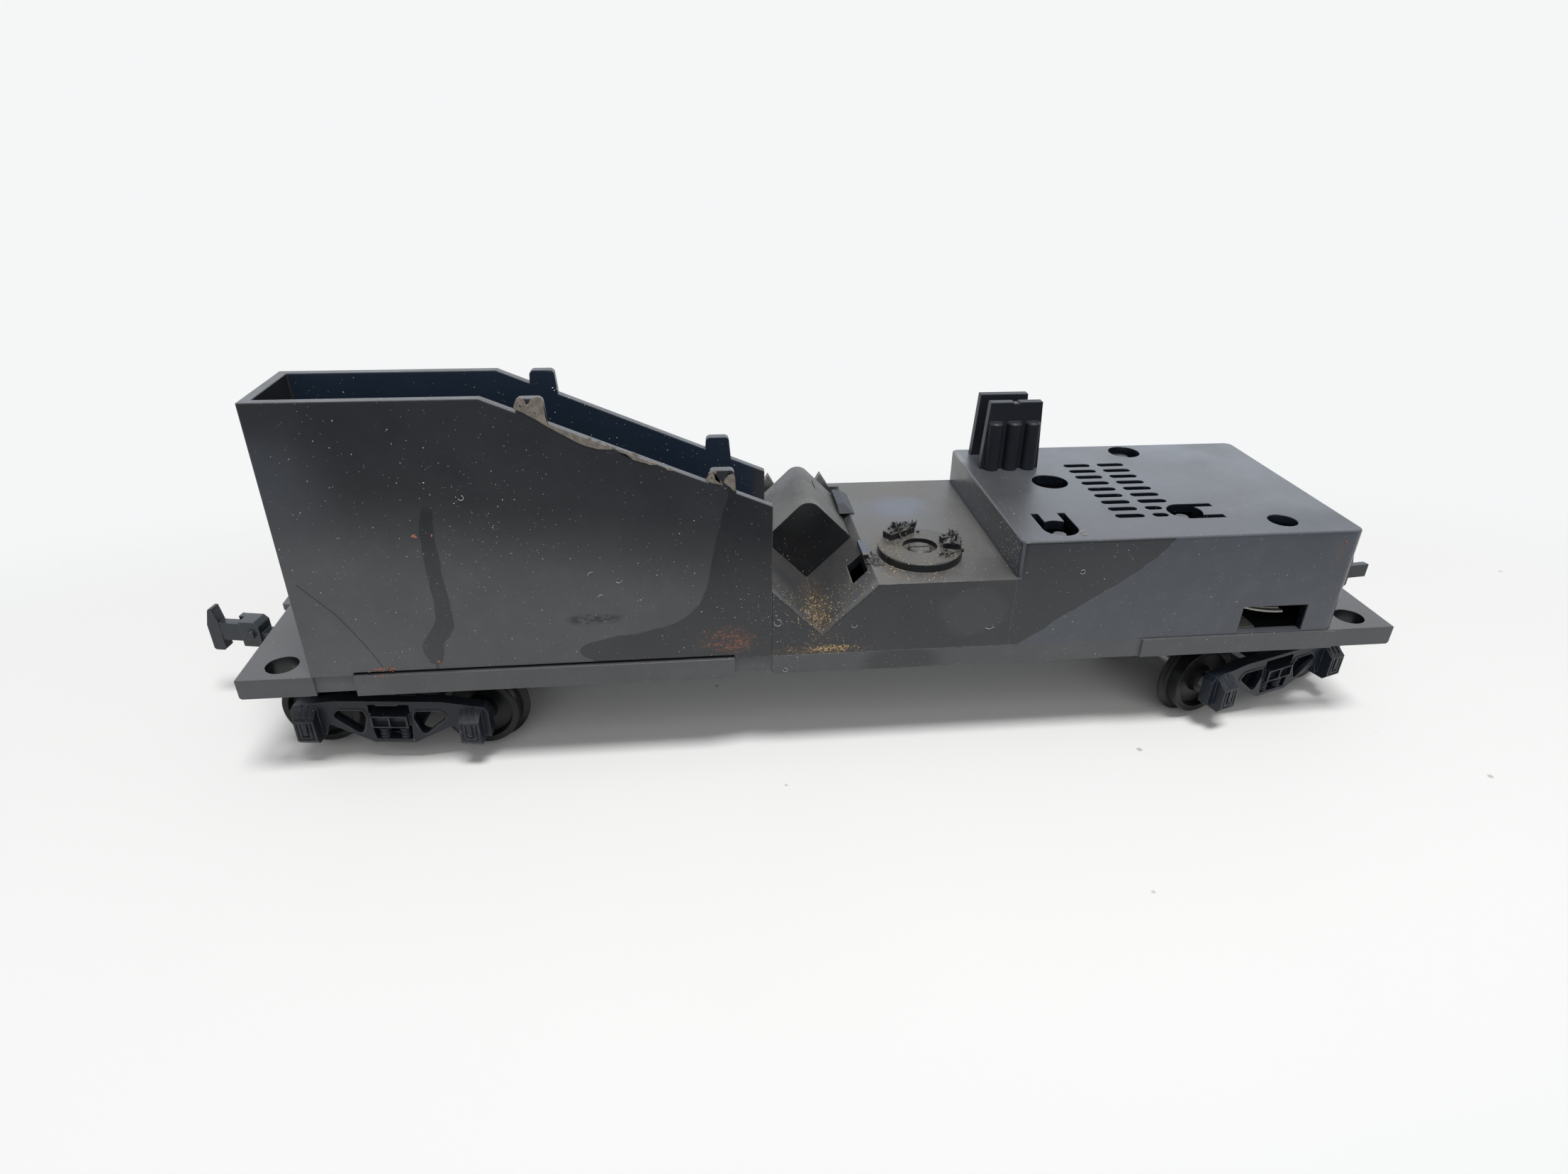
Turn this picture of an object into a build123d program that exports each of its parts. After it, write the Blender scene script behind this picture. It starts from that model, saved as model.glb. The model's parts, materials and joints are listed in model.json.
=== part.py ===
from build123d import *
import math
import os

# A 1:87 model railway wagon: underframe, side bin, V trough, vented housing and two swivelling trucks.
# Millimetres. The origin is on the floor under the wagon's centre, +X along the wagon, +Z up.

# ---- Driving dimensions: underframe ----
deck_length = 145.0
deck_width = 32.2
deck_rise = 2.5
deck_thickness = 2.6
end_deck_length = 8.6
deck_hole_radius = 1.9
deck_hole_inset_x = 4.3
deck_hole_inset_y = 3.05
sill_proud = 0.3
sill_drop = 0.1
sill_left_inset = 4.8
sill_left_stop = 4.57
sill_right_inset = 17.7
sill_right_overhang = 0.3
sill_seam = 0.4
rebate_length = 4.7
rebate_reach = 3.0
center_sill_gap = 20.5
center_sill_width = 4.0
center_sill_depth = 1.4

# ---- Driving dimensions: body shell ----
shell_wall = 1.2
trough_wall = 1.0
platform_rise = 9.4
platform_length = 17.08
trough_floor_rise = 2.74
cradle_rise = 11.4
cradle_tip_offset = 3.83
cradle_shoulder = 5.1
cradle_dip = 2.0
slope_window_start = 4.4
slope_window_width = 1.76
slope_window_inset = 7.1
slope_window_length = 4.8

# ---- Driving dimensions: side bin ----
bin_wall = 1.05
bin_width = 11.95
bin_overhang = 0.47
bin_height = 32.9
bin_slope_length = 30.47
bin_low_height = 19.9
tab_insets = (25.42, 5.67)
tab_base_width = 3.3
tab_top_width = 2.7
tab_rise = 2.1

# ---- Driving dimensions: housing ----
housing_length = 43.8
housing_height = 14.25
housing_wall = 1.2
housing_corner = 1.2
housing_left_corner = 0.8
near_hole_inset_x = 8.8
near_hole_inset_y = 3.75
near_hole_radius = 1.8
far_hole_offset_x = 10.1
far_hole_y = 2.5
far_hole_radius = 2.45
vent_count = 9
vent_pitch = 2.2
vent_width = 1.15
vent_middle_y = -0.65
vent_offsets = (16.2, 21.2)
vent_lengths = (3.85, 3.9)
vent_latch_gap = 0.5
window_inset = 9.0
window_width = 8.8
window_height = 3.85
window_sill = 0.15
latch_slot_width = 1.0
latch_hole_radius = 2.25
latch_slot_length = 2.2
latch_near_offset_x = 5.9
latch_near_inset_y = 1.5
latch_middle_offset_x = 21.7
latch_middle_inset_y = 7.5
latch_far_offset_x = 25.5
latch_far_inset_y = 0.7
latch_post_radius = 1.05
latch_post_set_in = 2.0
latch_post_sunk = 0.7
latch_foot = 3.0

# ---- Driving dimensions: guide posts ----
guide_near_offset_x = 6.05
guide_near_inset_y = 8.2
guide_near_width = 8.4
guide_near_top_width = 7.3
guide_far_offset_x = 6.2
guide_far_inset_y = 2.5
guide_far_width = 8.0
guide_far_top_width = 6.9
guide_thickness = 1.2
guide_height = 9.6
guide_far_drop = 0.55
guide_notch_width = 0.9
guide_notch_depth = 0.2
rib_radius = 1.05
rib_pitch = 2.65
rib_count = 3
rib_rise = 6.9

# ---- Driving dimensions: trough block, lugs, swivel disc, window spring, ballast ----
bar_side = 8.3
bar_top_corner = 1.8
bar_corner = 0.45
bar_near_y = -1.0
bar_length = 13.1
bar_slit_width = 0.35
bar_slit_depth = 0.5
bar_slit_length = 3.0
bar_slit_y = 2.4
bar_slit_offset = 1.5
lug_width = 1.1
near_lug_inset = 9.3
near_lug_length = 4.2
near_lug_rise = 0.45
near_lug_overhang = 0.7
near_lug_slant = 0.15
far_lug_inset = 7.9
far_lug_length = 7.2
far_lug_rise = 0.7
far_lug_overhang = 1.55
far_lug_slant = 1.1
far_lug_ramp = 2.2
disc_offset_x = 6.73
disc_inset_y = 7.9
disc_radius = 5.35
disc_thickness = 1.1
disc_recess_radius = 2.2
disc_recess_depth = 0.65
stump_angle = 122.0
stump_start = 3.1
stump_width = 4.2
stump_height = 0.9
prong_angles = (-16.0, 14.0)
prong_start = 2.9
prong_width = 0.75
prong_height = 0.8
pin_radius = 1.2
pin_head_radius = 1.5
pin_head_height = 0.45
pin_slit = 0.3
leaf_thickness = 0.25
leaf_width = 2.6
leaf_span = 6.8
leaf_rise = 3.7
leaf_lead = 4.6
leaf_prong_count = 3
leaf_prong_gap = 0.35
leaf_steps = 6
leaf_end_fall = 0.35
leaf_inset = 2.7
ballast_end_gap = 9.9
ballast_width = 13.0
ballast_thickness = 1.1
bracket_length = 1.1
bracket_width = 3.0
bracket_height = 0.9
bracket_y = 3.6

# ---- Driving dimensions: trucks, with heights counted from the axle line ----
kingpin_inset = 16.0
kingpin_shift = 0.45
left_yaw = -6.0
right_yaw = 18.0
wheelbase = 20.4
flange_radius = 5.85
tread_radius = 4.95
wheel_back_to_back = 14.4
flange_thickness = 0.7
wheel_width = 2.7
rim_thickness = 0.85
web_thickness = 0.8
web_set_in = 0.9
web_blend = 0.25
flange_tip = 0.45
rim_chamfer = 0.12
hub_radius = 1.75
axle_radius = 1.0
axle_point_length = 1.5
axle_point_radius = 0.12
axle_end_play = 0.4
frame_side_gap = 1.4
frame_thickness = 1.6
frame_top = 3.5
frame_end_top = 2.75
frame_overhang = 2.1
chord_bottom = -2.75
chord_half_flat = 2.6
window_corner = 0.5
window_skin = 0.6
window_relief = 0.35
window_rim = 0.18
window_rim_proud = 0.12
panel_proud = 0.6
panel_low = -0.1
panel_high = 1.65
panel_half_width = 2.3
panel_window_width = 1.95
panel_window_height = 1.4
panel_window_depth = 1.2
spring_radius = 0.55
spring_wire = 0.2
spring_coils = 4
spring_offset = 1.3
journal_width = 2.5
journal_proud = 1.5
journal_low = -1.65
journal_high = 1.5
journal_lip_low = -2.2
journal_back_high = 2.55
frame_shoulder_x = 6.5
frame_end_drop = 0.8
frame_neck = 0.5
pedestal_step = 0.45
pedestal_z = -0.15
window_outer_points = ((1.7, 1.3), (2.65, 2.15))
window_inner_points = ((3.15, 2.1), (2.95, 1.0), (3.85, -1.55))
spring_bay_low = -2.25
spring_bay_half_width = 2.55
spring_bay_slope = 0.25
opening_high = 3.0
panel_mullion = 0.22
spring_seat = -2.3
seat_overlap = 0.1
lid_margin_low = 0.18
lid_margin_high = 0.35
lid_depth = 0.2
lid_border = 0.25
ridge_border = 0.24
ridge_width = 0.22
tongue_width = 0.5
tongue_proud = 0.05
tongue_start = 0.8
bolt_radius = 0.16
bolt_rise = 1.1
top_rib_offsets = (-0.75, 0, 0.75)
top_rib_width = 0.3
top_rib_height = 0.3
journal_chamfer = 0.3
rib_set_back = 0.05
journal_lip_set_back = 0.5
bolster_half_length = 3.0
bolster_low = 2.15
bolster_high = 3.55
center_plate_radius = 4.0
center_plate_rise = 4.55
kingpin_radius = 1.5
kingpin_head_radius = 2.6
kingpin_head_height = 0.6
kingpin_engagement = 2.0
plank_thickness = 0.6
plank_lap = 0.2
plank_inset = 0.3
rivet_proud = 0.1

# ---- Driving dimensions: couplers ----
pocket_half_length = 3.4
pocket_half_width = 3.6
pocket_wall = 0.6
pocket_floor_low = 2.35
pocket_floor = 0.7
pocket_depth = 2.6
cover_thickness = 0.6
coupler_pivot = 11.8
coupler_post_radius = 0.9
coupler_rivet_radius = 0.5
coupler_ring_radius = 1.9
coupler_thickness = 2.3
shank_width = 1.9
shank_length = 9.4
head_length = 2.7
head_width = 2.6
head_low = 3.4
head_high = 7.1
head_slope = 0.6
arm_width = 1.3
arm_near_y = 0.95
arm_length = 3.0
arm_low = 4.0
arm_high = 6.6
guard_low = 2.4
guard_high = 8.8
guard_waist = 6.3
guard_foot = 1.7
guard_tip = 0.65
guard_lean = 0.4
guard_proud = 0.1
horn_lengths = (1.0, 5.45)
horn_width = 1.0
horn_low = 4.9
horn_high = 7.0
horn_lap = 1.0
horn_lean = 1.1
head_lap = 0.5
boss_radius = 0.65
boss_proud = 0.35
left_coupler_turn = -5.0
right_coupler_turn = -2.0

# ---- Clearances ----
slide_fit = 0.05
running_fit = 0.08
press_gap = 0.02
head_clearance = 0.3
edge_round = 0.25

# ---- Derived places: heights ----
axle_height = flange_radius
center_plate_top = axle_height + center_plate_rise
deck_bottom = center_plate_top + deck_rise
deck_top = deck_bottom + deck_thickness
platform_top = deck_top + platform_rise
trough_floor = deck_top + trough_floor_rise
roof_top = deck_top + housing_height

# ---- Derived places: along and across the wagon ----
half_width = deck_width / 2
body_end = deck_length / 2 - end_deck_length
kingpin_x = deck_length / 2 - kingpin_inset
kingpin_places = {-1: kingpin_shift - kingpin_x, 1: kingpin_shift + kingpin_x}
housing_start = body_end - housing_length
trough_half = platform_top - trough_floor
trough_x = housing_start - platform_length - trough_half
bin_start = -body_end
bin_end = trough_x - trough_half + bin_overhang
bin_near = -half_width
bin_far = bin_near + bin_width
slope_start = bin_end - bin_slope_length
disc_x = trough_x + trough_half + disc_offset_x
disc_y = -half_width + disc_inset_y
window_x = body_end - window_inset
leaf_y = -half_width + leaf_inset
vent_columns = [(housing_start + offset, length) for offset, length in zip(vent_offsets, vent_lengths)]
roof_holes = (
    (body_end - near_hole_inset_x, -half_width + near_hole_inset_y, near_hole_radius),
    (housing_start + far_hole_offset_x, far_hole_y, far_hole_radius),
)
latch_places = (
    (housing_start + latch_near_offset_x, -half_width + latch_near_inset_y, 90, latch_slot_length),
    (housing_start + latch_middle_offset_x, -half_width + latch_middle_inset_y, 0, latch_slot_length),
    (housing_start + latch_far_offset_x, half_width - latch_far_inset_y, -90, 0),
)
guide_near_place = (housing_start + guide_near_offset_x, half_width - guide_near_inset_y)
guide_far_place = (housing_start + guide_far_offset_x, half_width - guide_far_inset_y)
sill_left = (bin_start + sill_left_inset, bin_end - sill_left_stop)
sill_right = (housing_start + sill_right_inset, body_end + sill_right_overhang)

# ---- Derived places: trucks and couplers, from the kingpin ----
frame_inner_y = wheel_back_to_back / 2 + wheel_width + frame_side_gap
frame_outer_y = frame_inner_y + frame_thickness
axle_shoulder_y = frame_inner_y - axle_end_play
journal_face_y = frame_outer_y + journal_proud
journal_side = wheelbase / 2 - journal_width / 2
frame_end_x = wheelbase / 2 + frame_overhang
pocket_start = coupler_pivot - pocket_half_length
pocket_end = coupler_pivot + pocket_half_length
pocket_floor_top = pocket_floor_low + pocket_floor
pocket_top = pocket_floor_top + pocket_depth
head_start = coupler_pivot + shank_length
head_end = head_start + head_length
guard_x = head_end + arm_length


def block(x_range, y_range, z_range):
    """A box given by its low and high coordinates."""
    size = [high - low for low, high in (x_range, y_range, z_range)]
    center = [(high + low) / 2 for low, high in (x_range, y_range, z_range)]
    return Pos(*center) * Box(*size)


def around(center, width):
    """The range of a given width about a centre."""
    return (center - width / 2, center + width / 2)


def cylinder(radius, x, y, z_low, z_high):
    """An upright cylinder."""
    return Pos(x, y, (z_low + z_high) / 2) * Cylinder(radius, z_high - z_low)


def prism_xz(points, y_low, y_high):
    """A polygon in X and Z, extruded along Y."""
    face = make_face(Polyline(*[(x, y_low, z) for x, z in points], close=True))
    return extrude(face, amount=y_high - y_low, dir=(0, 1, 0))


def prism_yz(points, x_low, x_high):
    """A polygon in Y and Z, extruded along X."""
    face = make_face(Polyline(*[(x_low, y, z) for y, z in points], close=True))
    return extrude(face, amount=x_high - x_low, dir=(1, 0, 0))


def turned_y(points):
    """A solid of revolution about Y from points given as radius and Y."""
    face = make_face(Polyline(*[(radius, y, 0) for radius, y in points], close=True))
    return revolve(face, axis=Axis.Y)


def save(name, shape):
    """Writes one node."""
    export_step(shape, "parts/" + name + ".step")


def both_sides(shape):
    """A shape and its mirror image across the wagon's centre plane."""
    return shape + mirror(shape, about=Plane.XZ)


# ---- Underframe ----
def make_underframe():
    deck = block((-deck_length / 2, deck_length / 2), (-half_width, half_width), (deck_bottom, deck_top))
    end_edges = deck.edges().filter_by(Axis.Y).group_by(Axis.Z)[0]
    deck = chamfer(end_edges, edge_round)
    sill_y = (half_width - sill_proud, half_width + sill_proud)
    left_sill = block(sill_left, sill_y, (deck_bottom - sill_drop, deck_top))
    right_sill = block(sill_right, sill_y, (deck_bottom, deck_top - sill_drop))
    for start in (sill_left[0] - rebate_length, sill_left[1]):
        x_range = (start, start + rebate_length)
        face_cut = block(x_range, (half_width - sill_proud, half_width), (deck_bottom, deck_top))
        under_cut = block(
            x_range, (half_width - rebate_reach, half_width), (deck_bottom, deck_bottom + sill_proud)
        )
        deck -= both_sides(face_cut)
        deck -= both_sides(under_cut)
    deck += both_sides(left_sill)
    deck += both_sides(right_sill)
    center_sill_x = around(0, 2 * (kingpin_x - center_sill_gap))
    center_sill_z = (deck_bottom - center_sill_depth, deck_bottom)
    deck += block(center_sill_x, around(0, center_sill_width), center_sill_z)
    for x in kingpin_places.values():
        deck += cylinder(center_plate_radius, x, 0, center_plate_top, deck_bottom)
        socket_top = deck_bottom + kingpin_engagement
        deck -= cylinder(kingpin_radius + press_gap, x, 0, center_plate_top, socket_top)
    hole_x = deck_length / 2 - deck_hole_inset_x
    hole_y = half_width - deck_hole_inset_y
    for x, y in ((-hole_x, -hole_y), (hole_x, -hole_y), (-hole_x, hole_y), (hole_x, hole_y)):
        deck -= cylinder(deck_hole_radius, x, y, deck_bottom, deck_top)
    return deck


def make_end_brackets():
    brackets = []
    for side in (-1, 1):
        face = side * deck_length / 2
        x_range = sorted((face, face + side * bracket_length))
        body = block(x_range, around(bracket_y, bracket_width), (deck_top - bracket_height, deck_top))
        tips = body.edges().filter_by(Axis.Z).group_by(Axis.X)[0 if side < 0 else -1]
        brackets.append(chamfer(tips, edge_round))
    return Compound(children=brackets)


# ---- Body shell: platform, V trough, skirt walls ----
def body_profile(inset, wall):
    """The shell's outline in X and Z, drawn in by inset at its ends and by wall under its top."""
    slope_shift = wall * math.tan(math.radians(22.5))
    trough_bottom = trough_floor - wall * math.sqrt(2)
    return [
        (-body_end + inset, deck_top),
        (-body_end + inset, platform_top - wall),
        (trough_x - trough_half - slope_shift, platform_top - wall),
        (trough_x, trough_bottom),
        (trough_x + trough_half + slope_shift, platform_top - wall),
        (housing_start, platform_top - wall),
        (housing_start, deck_top),
    ]


def make_body_shell():
    shell = prism_xz(body_profile(0, 0), -half_width, half_width)
    inner_y = half_width - shell_wall
    shell -= prism_xz(body_profile(shell_wall, trough_wall), -inner_y, inner_y)
    seat_y = -half_width + bin_wall + slide_fit
    shell -= block((-body_end, bin_end + slide_fit), (-half_width, seat_y), (deck_top, platform_top))
    backing_x = (-body_end + shell_wall, trough_x - trough_half)
    shell += block(backing_x, (seat_y, seat_y + shell_wall), (deck_top, platform_top - trough_wall))
    tip = deck_top + cradle_rise
    cradle = [
        (trough_x - trough_half - trough_wall, platform_top),
        (trough_x - cradle_shoulder, platform_top),
        (trough_x - cradle_tip_offset, tip),
        (trough_x, trough_floor + cradle_dip),
        (trough_x + cradle_tip_offset, tip),
        (trough_x + cradle_shoulder, platform_top),
        (trough_x + trough_half + trough_wall, platform_top),
        (trough_x, trough_floor - trough_wall),
    ]
    shell += prism_xz(cradle, half_width - shell_wall, half_width)
    window_start = trough_x + slope_window_start
    window_y = around(-half_width + slope_window_inset, slope_window_length)
    shell -= block((window_start, window_start + slope_window_width), window_y, (deck_top, platform_top))
    shell -= cylinder(pin_radius + press_gap, disc_x, disc_y, platform_top - 2 * shell_wall, platform_top)
    return shell


# ---- Side bin ----
def bin_profile(low):
    """A bin wall's outline in X and Z, from the height low up to the sloped rim."""
    return [
        (bin_start, low),
        (bin_start, deck_top + bin_height),
        (slope_start, deck_top + bin_height),
        (bin_end, deck_top + bin_low_height),
        (bin_end, low),
    ]


def rim_height(x):
    """The height of the bin's rim above the floor at a place along the wagon."""
    share = max(0.0, (x - slope_start) / bin_slope_length)
    return deck_top + bin_height - share * (bin_height - bin_low_height)


def make_tab(x, y_low, y_high):
    """One rounded tab that stands up from the rim."""
    top = rim_height(x) + tab_rise
    low = rim_height(x + tab_base_width)
    outline = [
        (x - tab_base_width / 2, low),
        (x - tab_top_width / 2, top),
        (x + tab_top_width / 2, top),
        (x + tab_base_width / 2, low),
    ]
    tab = prism_xz(outline, y_low, y_high)
    return fillet(tab.edges().filter_by(Axis.Y).group_by(Axis.Z)[-1], tab_top_width / 5)


def make_side_bin():
    near_range = (bin_near, bin_near + bin_wall)
    far_range = (bin_far - bin_wall, bin_far)
    body = prism_xz(bin_profile(deck_top), *near_range)
    body += prism_xz(bin_profile(platform_top), *far_range)
    end_wall_range = (bin_start, bin_start + bin_wall)
    body += block(end_wall_range, (bin_near, bin_far), (platform_top, deck_top + bin_height))
    body += block((bin_start, bin_end), (bin_near, bin_far), (platform_top, platform_top + bin_wall))
    for inset in tab_insets:
        body += make_tab(bin_end - inset, *near_range)
        body += make_tab(bin_end - inset, *far_range)
    body -= block(sill_left, near_range, (deck_top, deck_top + sill_seam))
    return body


# ---- Housing ----
def latch_cut(x, y, turn, slot_length):
    """A snap latch: a round hole, and two slots that leave a tongue between them."""
    low = roof_top - housing_wall
    radius = latch_hole_radius
    cut = cylinder(radius, radius, 0, low, roof_top)
    for side in (-1, 1):
        if slot_length > 0:
            center = side * (radius - latch_slot_width / 2)
            slot_x = (radius, 2 * radius + slot_length)
            cut += block(slot_x, around(center, latch_slot_width), (low, roof_top))
    return Pos(x, y, 0) * Rot(0, 0, turn) * cut


def vent_slot(x, y, length):
    """One round-ended vent slot through the roof, shorter where the middle latch is near."""
    low = roof_top - 2 * housing_wall
    start, end = x - length / 2, x + length / 2
    latch_x, latch_y = latch_places[1][:2]
    clear = latch_hole_radius + vent_latch_gap + vent_width / 2
    if abs(y - latch_y) < clear:
        reach = math.sqrt(clear**2 - (y - latch_y) ** 2)
        end = min(end, latch_x + latch_hole_radius - reach + vent_width / 2)
    middle, straight = (start + end) / 2, end - start - vent_width
    slot = block(around(middle, straight), around(y, vent_width), (low, roof_top))
    for side in (-1, 1):
        slot += cylinder(vent_width / 2, middle + side * straight / 2, y, low, roof_top)
    return slot


def make_housing():
    x_range = (housing_start, body_end)
    lower = block(x_range, (-half_width, half_width), (deck_top, platform_top))
    lower = fillet(lower.edges().filter_by(Axis.Z).group_by(Axis.X)[-1], housing_corner)
    shell = block(x_range, (-half_width, half_width), (platform_top, roof_top))
    shell = fillet(shell.edges().filter_by(Axis.Z).group_by(Axis.X)[-1], housing_corner)
    shell = fillet(shell.edges().filter_by(Axis.Z).group_by(Axis.X)[0], housing_left_corner)
    shell = fillet(shell.faces().sort_by(Axis.Z)[-1].edges(), edge_round)
    shell += lower
    shell -= block(
        (housing_start + housing_wall, body_end - housing_wall),
        (-half_width + housing_wall, half_width - housing_wall),
        (deck_top, roof_top - housing_wall),
    )
    shell -= block(
        (housing_start, housing_start + housing_wall),
        (-half_width + housing_wall, half_width - housing_wall),
        (deck_top, platform_top - shell_wall),
    )
    for x, length in vent_columns:
        for index in range(vent_count):
            shell -= vent_slot(x, vent_middle_y + (index - (vent_count - 1) / 2) * vent_pitch, length)
    for x, y, radius in roof_holes:
        shell -= cylinder(radius, x, y, roof_top - 2 * housing_wall, roof_top)
    for place in latch_places:
        shell -= latch_cut(*place)
    shell -= block(
        around(window_x, window_width),
        (-half_width, -half_width + 2 * housing_wall),
        (deck_top + window_sill, deck_top + window_sill + window_height),
    )
    return shell


def make_latch_posts():
    posts = []
    for x, y, turn, _ in latch_places:
        place = Pos(x, y, 0) * Rot(0, 0, turn) * Pos(latch_post_set_in, 0, 0)
        post = cylinder(latch_post_radius, 0, 0, deck_top, roof_top - latch_post_sunk)
        post = chamfer(post.faces().sort_by(Axis.Z)[-1].edges(), edge_round)
        foot = block(around(0, latch_foot), around(0, latch_foot), (deck_top, deck_top + shell_wall))
        posts.append(place * (post + foot))
    return Compound(children=posts)


def guide_plate(x, y, width, top_width, z_high):
    """One upright guide plate on the roof, a little narrower at its top."""
    outline = [
        (x - width / 2, roof_top),
        (x + width / 2, roof_top),
        (x + top_width / 2, z_high),
        (x - top_width / 2, z_high),
    ]
    return prism_xz(outline, y, y + guide_thickness)


def make_guide_posts():
    near_x, near_y = guide_near_place
    z_high = roof_top + guide_height
    near = guide_plate(near_x, near_y, guide_near_width, guide_near_top_width, z_high)
    notch_z = (z_high - guide_notch_depth, z_high)
    near -= block(around(near_x, guide_notch_width), (near_y, near_y + guide_thickness), notch_z)
    rib_top = roof_top + rib_rise
    keep_y = (near_y - rib_radius, near_y + guide_thickness / 2)
    keep = block(around(near_x, guide_near_top_width), keep_y, (roof_top, rib_top))
    for index in range(rib_count):
        x = near_x + (index - (rib_count - 1) / 2) * rib_pitch
        rib = cylinder(rib_radius, x, near_y, roof_top, rib_top)
        rib = chamfer(rib.faces().sort_by(Axis.Z)[-1].edges(), edge_round)
        near += rib & keep
    far_high = roof_top + guide_height - guide_far_drop
    far = guide_plate(*guide_far_place, guide_far_width, guide_far_top_width, far_high)
    return Compound(children=[near, far])


# ---- Trough block, lugs, disc ----
def make_trough_block():
    center_z = trough_floor + bar_side / math.sqrt(2)
    half = bar_side / 2
    turned = Rot(0, 45, 0) * Box(bar_side, bar_length, bar_side)
    turned = fillet(turned.edges().filter_by(Axis.Y).group_by(Axis.Z)[-1], bar_top_corner)
    turned = fillet(turned.edges().filter_by(Axis.Y).group_by(Axis.Z)[0], bar_corner)
    side_corners = turned.edges().filter_by(Axis.Y)
    turned = fillet(side_corners.group_by(Axis.X)[0] + side_corners.group_by(Axis.X)[-1], bar_corner)
    bar = Rot(0, -45, 0) * turned
    slit_depth_range = (half - bar_slit_depth, half)
    near_y = around(-bar_slit_y, bar_slit_length)
    far_y = around(bar_slit_y, bar_slit_length)
    bar -= block(slit_depth_range, near_y, around(bar_slit_offset, bar_slit_width))
    bar -= block(around(-bar_slit_offset, bar_slit_width), far_y, slit_depth_range)
    return Pos(trough_x, bar_near_y + bar_length / 2, center_z) * Rot(0, 45, 0) * bar


def trough_lug(y_low, y_high, rise, overhang, slant):
    """A flat clip that lies on the platform's edge and leans over the trough."""
    left = trough_x + trough_half - overhang
    outline = [
        (left, platform_top),
        (left, platform_top + rise),
        (left + lug_width, platform_top + rise),
        (left + lug_width + slant, platform_top),
    ]
    return prism_xz(outline, y_low, y_high)


def make_trough_lugs():
    near_y = around(near_lug_inset - half_width, near_lug_length)
    near = trough_lug(*near_y, near_lug_rise, near_lug_overhang, near_lug_slant)
    far_y = around(half_width - far_lug_inset, far_lug_length)
    far = trough_lug(*far_y, far_lug_rise, far_lug_overhang, far_lug_slant)
    ramp = [
        (far_y[0], platform_top + far_lug_rise / 4),
        (far_y[0], platform_top + 2 * far_lug_rise),
        (far_y[0] + far_lug_ramp, platform_top + 2 * far_lug_rise),
        (far_y[0] + far_lug_ramp, platform_top + far_lug_rise),
    ]
    far -= prism_yz(ramp, trough_x, housing_start)
    return Compound(children=[near, far])


def make_disc():
    low = platform_top
    top = low + disc_thickness
    disc = cylinder(disc_radius, 0, 0, low, top)
    disc = fillet(disc.faces().sort_by(Axis.Z)[-1].edges(), edge_round)
    disc -= cylinder(disc_recess_radius, 0, 0, top - disc_recess_depth, top)
    disc -= cylinder(pin_radius + running_fit, 0, 0, low, top)
    within = cylinder(disc_radius - edge_round, 0, 0, low, top + stump_height)
    stump_range = (top - edge_round, top + stump_height)
    stump = block((stump_start, disc_radius), around(0, stump_width), stump_range)
    disc += (Rot(0, 0, stump_angle) * stump) & within
    prong_range = (top - edge_round, top + prong_height)
    for angle in prong_angles:
        prong = block((prong_start, disc_radius), around(0, prong_width), prong_range)
        disc += (Rot(0, 0, angle) * prong) & within
    return Pos(disc_x, disc_y, 0) * disc


def make_disc_pin():
    head_low = platform_top + disc_thickness - disc_recess_depth + slide_fit
    head_high = head_low + pin_head_height
    pin = cylinder(pin_radius, 0, 0, platform_top - shell_wall, head_low)
    head = cylinder(pin_head_radius, 0, 0, head_low, head_high)
    head = chamfer(head.faces().sort_by(Axis.Z)[-1].edges(), edge_round)
    slit = block(around(0, 2 * pin_head_radius), around(0, pin_slit), (platform_top, head_high))
    return Pos(disc_x, disc_y, 0) * (pin + head - slit)


def make_leaf_spring():
    """A bent strip with three prongs, standing on the deck behind the window."""
    start_x = window_x - leaf_lead
    upper = []
    for index in range(leaf_steps + 1):
        share = index / leaf_steps
        fall = leaf_end_fall * share * (2 - share)
        upper.append((start_x + share * leaf_span, deck_top + leaf_rise * (1 - fall)))
    lower = [(x, z - leaf_thickness) for x, z in reversed(upper)]
    y_range = around(leaf_y, leaf_width)
    strip = prism_xz(upper + lower, *y_range)
    gap_x = (start_x + leaf_span / 3, start_x + leaf_span)
    prong_pitch = (leaf_width + leaf_prong_gap) / leaf_prong_count
    for index in range(1, leaf_prong_count):
        gap_y = leaf_y + (index - leaf_prong_count / 2) * prong_pitch
        strip -= block(gap_x, around(gap_y, leaf_prong_gap), (deck_top, deck_top + leaf_rise))
    strip += block((start_x, start_x + leaf_thickness), y_range, (deck_top, deck_top + leaf_rise))
    strip += block((start_x, start_x + leaf_span / 2), y_range, (deck_top, deck_top + leaf_thickness))
    return strip


def make_ballast():
    height = (deck_top, deck_top + ballast_thickness)
    weight = block(around(0, 2 * (body_end - ballast_end_gap)), around(0, ballast_width), height)
    return chamfer(weight.edges().filter_by(Axis.Z), edge_round)


# ---- Trucks: each is built about its kingpin and axle line, with +X towards its coupler ----
def mirrored_outline(points):
    """Closes a half outline with its mirror image in X."""
    return points + [(-x, z) for x, z in reversed(points)]


def window_cut(side, grow, y_range):
    """The rounded three-cornered outline of a side frame's window, grown by a margin."""
    window = [(journal_side - inset, z) for inset, z in window_outer_points]
    window += window_inner_points
    hole = prism_xz([(side * x, z) for x, z in window], *y_range)
    hole = fillet(hole.edges().filter_by(Axis.Y), window_corner)
    if grow == 0:
        return hole
    face = hole.faces().sort_by(Axis.Y)[0]
    grown = offset(face, amount=grow)
    return extrude(grown, amount=y_range[1] - y_range[0], dir=(0, 1, 0))


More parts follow.
